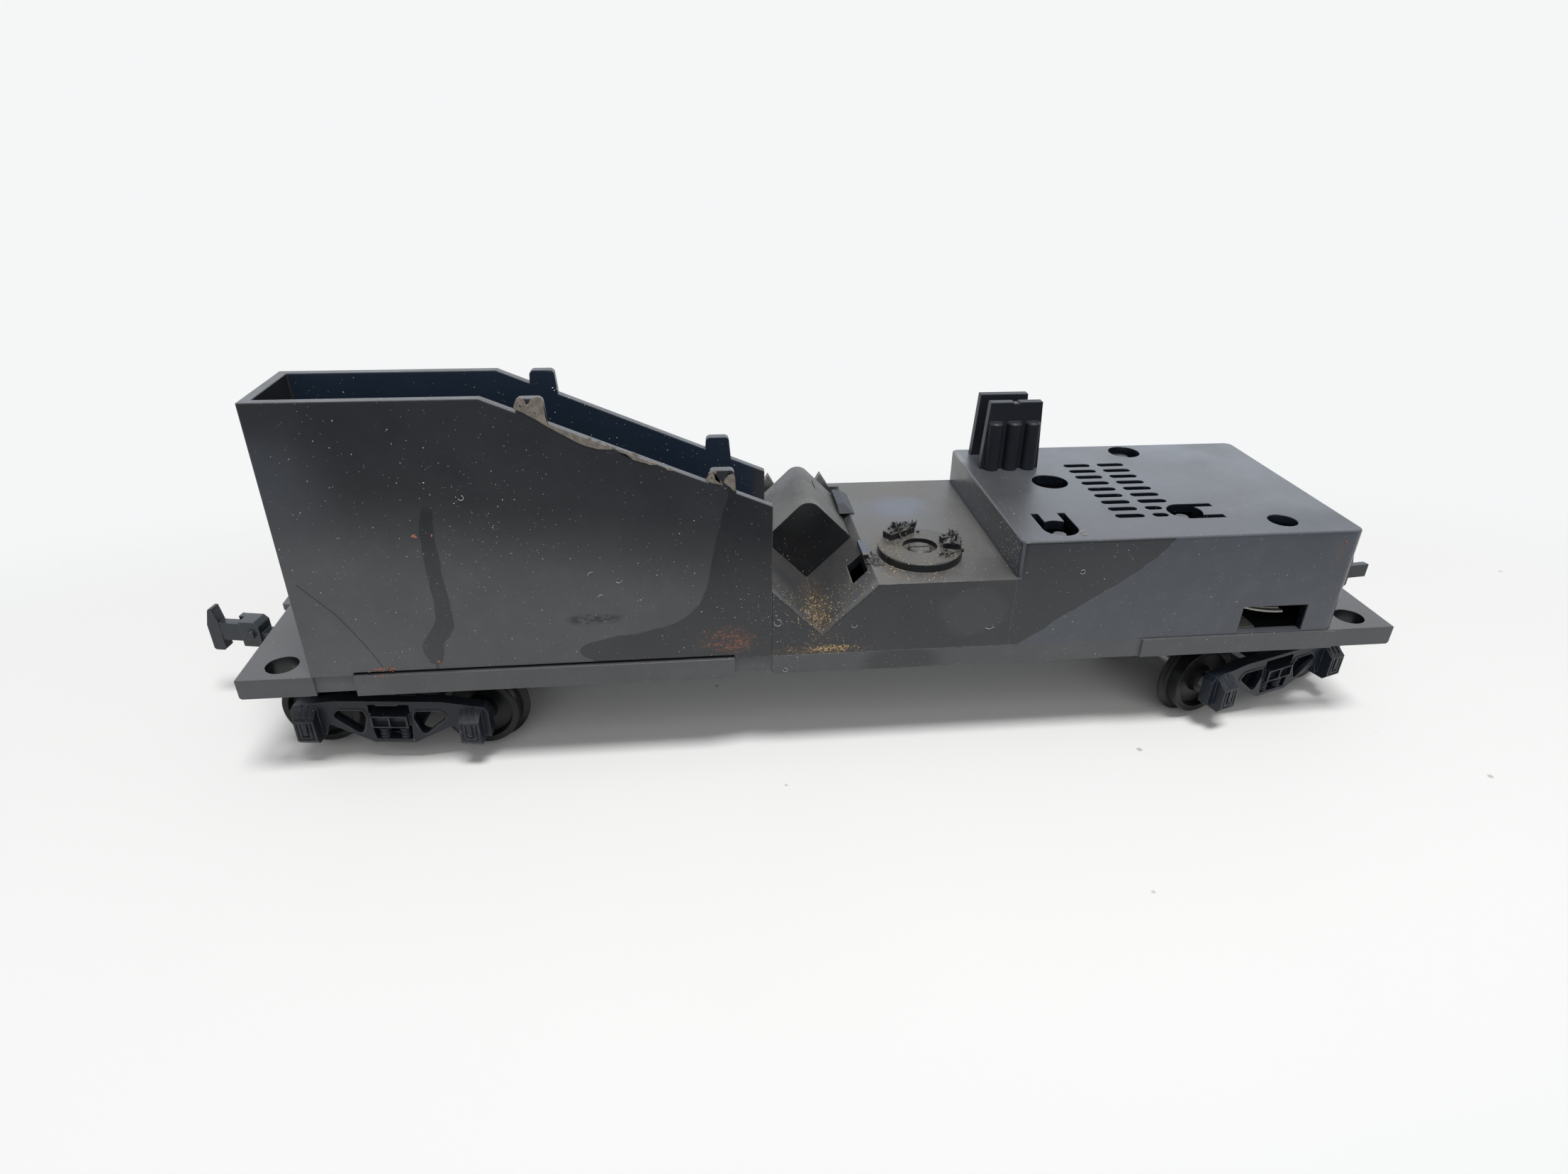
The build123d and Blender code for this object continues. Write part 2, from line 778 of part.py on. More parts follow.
def side_frame_plate():
    """The flat of one side frame, with its windows and spring bay."""
    y_range = (frame_inner_y, frame_outer_y)
    neck = journal_side - 2 * frame_neck
    half = [
        (frame_shoulder_x, frame_top),
        (frame_end_x - frame_neck, frame_end_top),
        (frame_end_x, frame_end_top - frame_end_drop),
        (frame_end_x, journal_low),
        (journal_side - frame_neck, journal_low),
        (neck, pedestal_z),
        (neck - pedestal_step, pedestal_z),
        (chord_half_flat, chord_bottom),
    ]
    plate = prism_xz(mirrored_outline(half), *y_range)
    for side in (-1, 1):
        plate += window_cut(side, window_rim, (frame_outer_y - window_rim, frame_outer_y + window_rim_proud))
    for side in (-1, 1):
        plate -= window_cut(side, 0, (frame_inner_y, frame_outer_y + window_rim_proud))
        plate -= window_cut(side, window_relief, (frame_inner_y, frame_outer_y - window_skin))
    bay = [(spring_bay_half_width, panel_low), (spring_bay_half_width - spring_bay_slope, spring_bay_low)]
    plate -= prism_xz(mirrored_outline(bay), *y_range)
    opening_width = 2 * (panel_half_width + spring_bay_slope)
    plate -= block(around(0, opening_width), y_range, (panel_high, opening_high))
    plate += bolster_end_panel()
    for side in (-1, 1):
        plate += coil_spring(side * spring_offset)
    return plate


def bolster_end_panel():
    """The proud panel with two small square windows in the middle of a side frame."""
    face_y = frame_outer_y + panel_proud
    panel = block(around(0, 2 * panel_half_width), (frame_inner_y, face_y), (panel_low, panel_high))
    height = around((panel_low + panel_high) / 2, panel_window_height)
    for side in (-1, 1):
        center = side * (panel_window_width + panel_mullion) / 2
        depth = (face_y - panel_window_depth, face_y)
        panel -= block(around(center, panel_window_width), depth, height)
    return panel


def coil_spring(x):
    """A spring seen in the spring bay: a core with a ring for each coil."""
    y = frame_outer_y - spring_radius - spring_wire
    spring = cylinder(spring_radius, x, y, spring_seat, panel_low + seat_overlap)
    pitch = (panel_low - spring_seat) / spring_coils
    for index in range(spring_coils):
        spring += Pos(x, y, spring_seat + (index + 0.5) * pitch) * Torus(spring_radius, spring_wire)
    return spring


def journal_box(x):
    """One axle box with its lid relief."""
    profile = [
        (frame_inner_y, journal_back_high),
        (frame_outer_y, journal_back_high),
        (journal_face_y - journal_chamfer, journal_high + seat_overlap),
        (journal_face_y, journal_high - seat_overlap),
        (journal_face_y, journal_low),
        (journal_face_y - journal_lip_set_back, journal_lip_low),
        (frame_inner_y, journal_lip_low),
    ]
    box = prism_yz(profile, x - journal_width / 2, x + journal_width / 2)
    lid_low = journal_low + lid_margin_low
    lid_high = journal_high - lid_margin_high
    lid_y = (journal_face_y - lid_depth, journal_face_y)
    box -= block(around(x, journal_width - 2 * lid_border), lid_y, (lid_low, lid_high))
    ridge_low = lid_low + ridge_border
    ridge_span = journal_width - 2 * lid_border - 2 * ridge_border
    box += block(around(x, ridge_span), lid_y, (ridge_low, lid_high))
    box -= block(around(x, ridge_span - 2 * ridge_width), lid_y, (ridge_low + ridge_width, lid_high))
    tongue_y = (journal_face_y - lid_depth, journal_face_y + tongue_proud)
    box += block(around(x, tongue_width), tongue_y, (lid_low + tongue_start, journal_high - seat_overlap))
    bolt = Cylinder(bolt_radius, 2 * lid_depth)
    box += Pos(x, journal_face_y - lid_depth / 2, lid_low + bolt_rise) * Rot(90, 0, 0) * bolt
    rib_front = journal_face_y - journal_chamfer - rib_set_back
    rib_profile = [
        (frame_outer_y, journal_back_high - seat_overlap),
        (frame_outer_y, journal_back_high + top_rib_height - seat_overlap),
        (rib_front, journal_high + top_rib_height),
        (rib_front, journal_high),
    ]
    for offset in top_rib_offsets:
        rib_x = around(x + offset, top_rib_width)
        box += prism_yz(rib_profile, *rib_x)
    return box


def bearing_cone(x):
    """The pointed hollow that an axle's end turns in."""
    slope = (axle_radius - axle_point_radius) / axle_point_length
    high = axle_point_radius + running_fit
    low = high + slope * axle_point_length
    hollow = Cone(low, high, axle_point_length)
    center_y = axle_shoulder_y + axle_point_length / 2
    return Pos(x, center_y, 0) * Rot(-90, 0, 0) * hollow


def make_truck_frame():
    frame = side_frame_plate()
    for x in (-wheelbase / 2, wheelbase / 2):
        frame += journal_box(x)
        frame -= bearing_cone(x)
    frame += Rot(0, 0, 180) * frame
    across = around(0, 2 * (frame_inner_y + plank_lap))
    frame += block(around(0, 2 * bolster_half_length), across, (bolster_low, bolster_high))
    plank_range = (chord_bottom, chord_bottom + plank_thickness)
    frame += block(around(0, 2 * (chord_half_flat - plank_inset)), across, plank_range)
    frame += cylinder(center_plate_radius, 0, 0, bolster_low, center_plate_rise)
    pocket_y = around(0, 2 * pocket_half_width)
    frame += block((0, pocket_end), pocket_y, (pocket_floor_low, pocket_floor_top))
    for side in (-1, 1):
        wall = sorted((side * pocket_half_width, side * (pocket_half_width - pocket_wall)))
        frame += block((pocket_start, pocket_end), wall, (pocket_floor_top, pocket_top))
    frame += block((pocket_start, pocket_start + pocket_wall), pocket_y, (pocket_floor_top, pocket_top))
    frame += cylinder(coupler_post_radius, coupler_pivot, 0, pocket_floor_top, pocket_top)
    rivet_top = pocket_top + cover_thickness + rivet_proud
    frame += cylinder(coupler_rivet_radius, coupler_pivot, 0, pocket_top, rivet_top)
    frame -= cylinder(kingpin_radius + running_fit, 0, 0, bolster_low, center_plate_rise)
    return frame


def make_pocket_cover():
    height = (pocket_top, pocket_top + cover_thickness)
    cover = block((pocket_start, pocket_end), around(0, 2 * pocket_half_width), height)
    cover = fillet(cover.edges().filter_by(Axis.Z), edge_round)
    return cover - cylinder(coupler_rivet_radius + press_gap, coupler_pivot, 0, *height)


def make_kingpin():
    head_high = bolster_low - head_clearance
    head = cylinder(kingpin_head_radius, 0, 0, head_high - kingpin_head_height, head_high)
    head = chamfer(head.faces().sort_by(Axis.Z)[0].edges(), edge_round)
    shaft_top = center_plate_rise + deck_rise + kingpin_engagement - slide_fit
    return head + cylinder(kingpin_radius, 0, 0, head_high, shaft_top)


def make_axle():
    """An axle along Y with pointed ends, about the wheelset's centre."""
    tip_y = axle_shoulder_y + axle_point_length
    points = [
        (0, -tip_y),
        (axle_point_radius, -tip_y),
        (axle_radius, -axle_shoulder_y),
        (axle_radius, axle_shoulder_y),
        (axle_point_radius, tip_y),
        (0, tip_y),
    ]
    return turned_y(points)


def make_wheel_pair():
    inner = wheel_back_to_back / 2
    outer = inner + wheel_width
    rim_radius = tread_radius - rim_thickness
    web_inner = inner + web_set_in
    web_outer = web_inner + web_thickness
    bore = axle_radius + press_gap
    tread_start = inner + flange_thickness
    points = [
        (bore, inner + rim_chamfer),
        (hub_radius, inner + rim_chamfer),
        (hub_radius + web_blend, web_inner),
        (rim_radius - web_blend, web_inner),
        (rim_radius, inner),
        (flange_radius - edge_round, inner),
        (flange_radius, inner + edge_round),
        (flange_radius, inner + flange_tip),
        (tread_radius + rim_chamfer, tread_start),
        (tread_radius, tread_start + edge_round),
        (tread_radius, outer - rim_chamfer),
        (tread_radius - rim_chamfer, outer),
        (rim_radius, outer),
        (rim_radius - web_blend, web_outer),
        (hub_radius + web_blend, web_outer),
        (hub_radius, outer),
        (bore, outer),
    ]
    wheel = turned_y(points)
    return Compound(children=[wheel, mirror(wheel, about=Plane.XZ)])


def guard_outline():
    """The side view of the upright guard at a coupler's end: a leaning blade with a wide foot."""
    tip_x = guard_x + guard_lean
    return [
        (guard_x, guard_low + edge_round),
        (guard_x + edge_round, guard_low),
        (guard_x + guard_foot - edge_round, guard_low),
        (guard_x + guard_foot, guard_low + edge_round),
        (guard_x + guard_foot, guard_waist),
        (tip_x + guard_tip, guard_high - edge_round),
        (tip_x + guard_tip - edge_round, guard_high),
        (tip_x, guard_high),
        (guard_x, arm_high),
    ]


def make_coupler(horn_length):
    """A horn-hook coupler about the truck's kingpin, pointing along +X."""
    low = pocket_floor_top
    high = low + coupler_thickness
    head_side = head_width / 2
    coupler = cylinder(coupler_ring_radius, coupler_pivot, 0, low, high)
    coupler += block((coupler_pivot, head_start + head_lap), around(0, shank_width), (low, high))
    head = block((head_start, head_end), around(0, head_width), (head_low, head_high))
    coupler += chamfer(head.edges().filter_by(Axis.Y).group_by(Axis.X)[0], head_slope)
    boss_x = (head_start + head_end) / 2
    boss_z = (head_low + head_high) / 2
    coupler += Pos(boss_x, head_side, boss_z) * Rot(90, 0, 0) * Cylinder(boss_radius, 2 * boss_proud)
    arm_y = (arm_near_y - arm_width, arm_near_y)
    coupler += block((head_end, guard_x + edge_round), arm_y, (arm_low, arm_high))
    coupler += prism_xz(guard_outline(), arm_y[0] - guard_proud, arm_y[1] + guard_proud)
    horn_reach = head_end + horn_length
    lean = horn_lean * horn_length / max(horn_lengths)
    horn = [
        (head_end - horn_lap, -head_side),
        (head_end - horn_lap, -head_side + horn_width),
        (horn_reach, -head_side + horn_width - lean),
        (horn_reach, -head_side - lean),
    ]
    face = make_face(Polyline(*[(x, y, horn_low) for x, y in horn], close=True))
    coupler += extrude(face, amount=horn_high - horn_low, dir=(0, 0, 1))
    coupler -= cylinder(coupler_post_radius + running_fit, coupler_pivot, 0, low, high)
    return coupler


def place_truck(shape, side):
    """Moves a truck piece from its kingpin's frame to the wagon, side -1 left and 1 right."""
    turn = right_yaw if side > 0 else 180 + left_yaw
    return Pos(kingpin_places[side], 0, axle_height) * Rot(0, 0, turn) * shape


def turn_coupler(shape, angle):
    """Swings a coupler about its pivot post."""
    return Pos(coupler_pivot, 0, 0) * Rot(0, 0, angle) * Pos(-coupler_pivot, 0, 0) * shape


os.makedirs("parts", exist_ok=True)
save("underframe", make_underframe())
save("end_brackets", make_end_brackets())
save("body_shell", make_body_shell())
save("side_bin", make_side_bin())
save("housing_cover", make_housing())
save("latch_posts", make_latch_posts())
save("guide_posts", make_guide_posts())
save("trough_block", make_trough_block())
save("trough_lugs", make_trough_lugs())
save("swivel_disc", make_disc())
save("disc_pin", make_disc_pin())
save("leaf_spring", make_leaf_spring())
save("ballast_weight", make_ballast())

truck_frame = make_truck_frame()
pocket_cover = make_pocket_cover()
kingpin = make_kingpin()
axle = make_axle()
wheel_pair = make_wheel_pair()
coupler_settings = (("left", -1, left_coupler_turn), ("right", 1, right_coupler_turn))
for (side_name, side, turn), horn_length in zip(coupler_settings, horn_lengths):
    coupler = make_coupler(horn_length)
    save("truck_frame_" + side_name, place_truck(truck_frame, side))
    save("pocket_cover_" + side_name, place_truck(pocket_cover, side))
    save("kingpin_" + side_name, place_truck(kingpin, side))
    save("coupler_" + side_name, place_truck(turn_coupler(coupler, turn), side))
    for place_name, x in (("outer", wheelbase / 2), ("inner", -wheelbase / 2)):
        spot = Pos(x, 0, 0)
        save("axle_" + side_name + "_" + place_name, place_truck(spot * axle, side))
        save("wheels_" + side_name + "_" + place_name, place_truck(spot * wheel_pair, side))
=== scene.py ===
import json
import math
import random

import bmesh
import bpy
from mathutils import Matrix, Vector
from mathutils.bvhtree import BVHTree

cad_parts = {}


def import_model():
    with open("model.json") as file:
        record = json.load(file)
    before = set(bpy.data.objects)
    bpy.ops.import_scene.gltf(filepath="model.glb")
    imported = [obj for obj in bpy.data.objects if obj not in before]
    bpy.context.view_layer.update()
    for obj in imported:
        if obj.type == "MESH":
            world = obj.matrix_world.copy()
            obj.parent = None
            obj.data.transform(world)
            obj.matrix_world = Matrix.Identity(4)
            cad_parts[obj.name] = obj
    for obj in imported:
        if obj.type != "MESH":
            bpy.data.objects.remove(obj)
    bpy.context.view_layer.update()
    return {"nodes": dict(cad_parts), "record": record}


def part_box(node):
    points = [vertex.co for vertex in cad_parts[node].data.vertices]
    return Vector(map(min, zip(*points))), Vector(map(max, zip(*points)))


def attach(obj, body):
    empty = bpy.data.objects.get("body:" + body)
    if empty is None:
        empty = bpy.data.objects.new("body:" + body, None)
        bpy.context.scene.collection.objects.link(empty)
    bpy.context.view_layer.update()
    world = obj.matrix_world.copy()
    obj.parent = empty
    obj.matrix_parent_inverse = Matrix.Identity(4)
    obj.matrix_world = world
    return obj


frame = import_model()
nodes = frame["nodes"]
MM = 0.001


def box_mm(node):
    """A node's lowest and highest corners in millimetres."""
    return [[value / MM for value in corner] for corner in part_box(node)]


# ---- Places, all from the frame ----
shell_low, shell_high = box_mm("body_shell")
bin_low, bin_high = box_mm("side_bin")
house_low, house_high = box_mm("housing_cover")
disc_low, disc_high = box_mm("swivel_disc")
bar_low, bar_high = box_mm("trough_block")
lug_low = box_mm("trough_lugs")[0]
deck_low, deck_high = box_mm("underframe")
NEAR = shell_low[1]  # the near walls' plane
BASE = house_low[2]  # the foot of the walls above the sills
ROOF = house_high[2]
DISC_X, DISC_Y = (disc_low[0] + disc_high[0]) / 2, (disc_low[1] + disc_high[1]) / 2
TROUGH_X = (bar_low[0] + bar_high[0]) / 2
PLATFORM = disc_low[2]
LUG_X, LUG_Y = lug_low[0] + 0.85, lug_low[1] + 2.1  # the near clip


def on_bin(x, z):
    """A place on the bin's near wall, from its lower left corner."""
    return (bin_low[0] + x, NEAR, BASE + z)


def on_house(x, z):
    """A place on the housing's near wall, from its lower left corner."""
    return (house_low[0] + x, NEAR, BASE + z)


def on_roof(x, y):
    """A place on the roof, from its near left corner."""
    return (house_low[0] + x, NEAR + y, ROOF)


# ---- Shader helpers: object coordinates are the row frame, worked in millimetres ----
class Shader:
    """A node material, with short calls for what the materials below share."""

    def __init__(self, name):
        self.material = bpy.data.materials.new(name)
        self.material.use_nodes = True
        self.tree = self.material.node_tree
        self.tree.nodes.clear()
        coords = self.add("ShaderNodeTexCoord")
        self.position = self.vector("SCALE", coords.outputs["Object"], scale=1 / MM)
        self.normal = coords.outputs["Normal"]

    def add(self, kind, values=(), **settings):
        made = self.tree.nodes.new(kind)
        for key, value in settings.items():
            setattr(made, key, value)
        for key, value in dict(values).items():
            self.put(made.inputs[key], value)
        return made

    def put(self, socket, value):
        if isinstance(value, bpy.types.NodeSocket):
            self.tree.links.new(value, socket)
        else:
            socket.default_value = value

    def math(self, operation, *values, clamp=False):
        return self.add("ShaderNodeMath", enumerate(values), operation=operation, use_clamp=clamp).outputs[0]

    def vector(self, operation, first, second=None, scale=None):
        made = self.add("ShaderNodeVectorMath", {0: first}, operation=operation)
        if second is not None:
            self.put(made.inputs[1], second)
        if scale is not None:
            self.put(made.inputs["Scale"], scale)
        return made.outputs["Value"] if operation in ("LENGTH", "DOT_PRODUCT") else made.outputs[0]

    def axis(self, vector, index):
        return self.add("ShaderNodeSeparateXYZ", {0: vector}).outputs[index]

    def rise(self, value, low, high, to_low=0.0, to_high=1.0):
        """A smooth step of value from low to high."""
        return self.add(
            "ShaderNodeMapRange",
            {0: value, 1: low, 2: high, 3: to_low, 4: to_high},
            interpolation_type="SMOOTHSTEP",
        ).outputs[0]

    def curve(self, value, points):
        """A smooth line through (value, result) points."""
        ins, outs = [p[0] for p in points], [p[1] for p in points]
        low, high = min(outs), max(outs)
        share = self.add("ShaderNodeMapRange", {0: value, 1: min(ins), 2: max(ins)}).outputs[0]
        made = self.add("ShaderNodeFloatCurve", {1: share})
        line = made.mapping.curves[0]
        places = sorted(((i - min(ins)) / (max(ins) - min(ins)), (o - low) / (high - low)) for i, o in points)
        line.points[0].location, line.points[1].location = places[0], places[-1]
        for place in places[1:-1]:
            line.points.new(*place)
        made.mapping.update()
        return self.math("MULTIPLY_ADD", made.outputs[0], high - low, low)

    def noise(self, scale, detail=3.0, roughness=0.55, stretch=None, shift=(0, 0, 0)):
        """Noise from 0 to 1 with features of 1/scale mm."""
        place = self.position
        if stretch is not None:
            place = self.vector("MULTIPLY", place, stretch)
        place = self.vector("ADD", place, shift)
        made = self.add(
            "ShaderNodeTexNoise", {"Vector": place, "Scale": scale, "Detail": detail, "Roughness": roughness}
        )
        return made.outputs["Fac"]

    def specks(self, scale, radius, share, shift=(0, 0, 0)):
        """Round dots: one in some of the cells of 1/scale mm, radius as a share of a cell."""
        place = self.vector("ADD", self.position, shift)
        cells = self.add("ShaderNodeTexVoronoi", {"Vector": place, "Scale": scale}, feature="F1")
        dot = self.rise(cells.outputs["Distance"], radius, radius * 0.6)
        pick = self.axis(cells.outputs["Color"], 0)
        return self.math("MULTIPLY", dot, self.math("LESS_THAN", pick, share))

    def mix(self, share, first, second):
        """Blends two colours."""
        made = self.add("ShaderNodeMix", data_type="RGBA")
        for socket, value in ((made.inputs[0], share), (made.inputs[6], first), (made.inputs[7], second)):
            self.put(socket, value)
        return made.outputs[2]

    def blend(self, share, first, second):
        """Blends two numbers."""
        made = self.add("ShaderNodeMix", data_type="FLOAT")
        for index, value in enumerate((share, first, second)):
            self.put(made.inputs[(0, 2, 3)[index]], value)
        return made.outputs[0]

    def blob(self, center, radii, turn=0.0, soft=0.35, warp=0.35, warp_scale=0.35):
        """A soft ragged patch about a place in mm, with its half sizes."""
        offset = self.vector("SUBTRACT", self.position, center)
        if turn:
            offset = self.add(
                "ShaderNodeVectorRotate", {0: offset, "Angle": math.radians(turn)}, rotation_type="Y_AXIS"
            ).outputs[0]
        scaled = self.vector("DIVIDE", offset, radii)
        reach = self.vector("LENGTH", scaled)
        ragged = self.math("MULTIPLY_ADD", self.noise(warp_scale, 4.0, shift=center), 2 * warp, -warp)
        reach = self.math("ADD", reach, ragged)
        return self.rise(reach, 1.0, 1.0 - soft)

    def finish(self, color, roughness, normal=None, **constants):
        shader = self.add("ShaderNodeBsdfPrincipled", {"Base Color": color, "Roughness": roughness})
        if normal is not None:
            self.put(shader.inputs["Normal"], normal)
        for key, value in constants.items():
            shader.inputs[key.replace("_", " ")].default_value = value
        output = self.add("ShaderNodeOutputMaterial")
        self.tree.links.new(shader.outputs[0], output.inputs["Surface"])
        return self.material


def rgba(value, tint=(1.0, 1.0, 1.0)):
    return (value * tint[0], value * tint[1], value * tint[2], 1.0)


# ---- Wiped marks on the walls: (height, place or half width) in mm from a wall's lower left corner ----
DRIP_TOP = 21.6
DRIP_MIDDLE = (
    (1.1, 14.4), (3.5, 14.4), (4.9, 15.3), (7.4, 16.2), (14.1, 16.05), (18.2, 16.1), (DRIP_TOP, 16.85)
)
DRIP_WIDTH = (
    (1.1, 0.2), (1.9, 0.9), (4.9, 1.25), (8.0, 0.9), (14.1, 0.8), (18.2, 0.8), (DRIP_TOP, 0.1)
)
WIPED_EDGE = (
    (0.7, 32.5), (2.2, 31.2), (3.5, 34.2), (4.4, 39.5), (5.9, 43.5), (8.9, 46.0), (14.6, 47.2), (21.5, 49.0)
)
HOUSE_EDGE = (
    (0.2, 1.2), (1.8, 3.7), (3.7, 6.1), (5.6, 9.0), (8.2, 12.8), (10.3, 15.6), (12.2, 17.6), (14.3, 19.4)
)
EDGE_SHIFT = 0.3  # the mean of the noise that makes the marks' edges ragged


def wiped(s):
    """Where the near walls were wiped clean: a drip and a corner on the bin, a band by the housing."""
    cloud = s.add("ShaderNodeTexNoise", {"Vector": s.position, "Scale": 0.5, "Detail": 3.0})
    place = s.vector("ADD", s.position, s.vector("SCALE", cloud.outputs["Color"], scale=2 * EDGE_SHIFT))
    x, y, z = s.axis(place, 0), s.axis(s.position, 1), s.axis(place, 2)
    up = s.math("SUBTRACT", z, BASE + EDGE_SHIFT)
    along = s.math("SUBTRACT", x, bin_low[0] + EDGE_SHIFT)
    off_middle = s.math("ABSOLUTE", s.math("SUBTRACT", along, s.curve(up, DRIP_MIDDLE)))
    drip = s.rise(s.math("SUBTRACT", off_middle, s.curve(up, DRIP_WIDTH)), 0.12, -0.12)
    drip = s.math("MULTIPLY", drip, s.rise(up, DRIP_TOP, DRIP_TOP - 1.6))
    past = s.math("SUBTRACT", x, house_low[0] + EDGE_SHIFT)
    corner = s.rise(s.math("SUBTRACT", along, s.curve(up, WIPED_EDGE)), -0.15, 0.2)
    corner = s.math("MULTIPLY", corner, s.rise(s.math("SUBTRACT", past, s.curve(up, HOUSE_EDGE)), 0.2, -0.15))
    patch = s.blob((house_low[0] - 5.0, NEAR, BASE + 5.0), (5.0, 6.0, 4.0), soft=0.3, warp=0.3)
    corner = s.math("MULTIPLY", corner, s.math("SUBTRACT", 1.0, s.math("MULTIPLY", patch, 0.35)))
    return s.math("MULTIPLY", s.math("MAXIMUM", drip, corner), s.math("LESS_THAN", y, NEAR + 0.1))


def smears(s):
    """Wiped patches with crisp edges on the walls that the near marks don't cover."""
    drawn = s.noise(0.07, 2.0, 0.4, stretch=(1.0, 1.0, 0.45), shift=(31, 5, 12))
    smear = s.math("MULTIPLY", s.rise(drawn, 0.55, 0.62), 0.45)
    smear = s.math("MULTIPLY", smear, s.math("LESS_THAN", s.axis(s.normal, 2), 0.5))
    return s.math("MULTIPLY", smear, s.math("GREATER_THAN", s.axis(s.position, 1), NEAR + 0.1))


SLOPE_SHARE = 0.6  # what a 45 degree slope gets of the film and dust of a level top


def outside(s, low, high, slack=(1.3, 0.25), up_from=0.0):
    """1 on a box's outer side faces and on level tops, less on 45 degree slopes, 0 in holes and inner walls.

    slack is how far inside the box, along X and Y, a face still counts as an outer one. Tops count only
    further than up_from from the box's middle along X.
    """
    x, y = s.axis(s.position, 0), s.axis(s.position, 1)
    off_x = s.math("ABSOLUTE", s.math("SUBTRACT", x, (low[0] + high[0]) / 2))
    off_y = s.math("ABSOLUTE", s.math("SUBTRACT", y, (low[1] + high[1]) / 2))
    end = s.math("GREATER_THAN", off_x, (high[0] - low[0]) / 2 - slack[0])
    side = s.math("GREATER_THAN", off_y, (high[1] - low[1]) / 2 - slack[1])
    upward = s.axis(s.normal, 2)
    slope, level = s.rise(upward, 0.6, 0.7, 0.0, SLOPE_SHARE), s.rise(upward, 0.8, 0.95, 0.0, 1 - SLOPE_SHARE)
    slope_or_flat = s.math("ADD", slope, level)
    up = s.math("MULTIPLY", slope_or_flat, s.math("GREATER_THAN", off_x, up_from))
    return s.math("MAXIMUM", s.math("MAXIMUM", end, side), up)


BUMP_DEPTH = 0.02 * MM
BEVEL_SAMPLES = 6


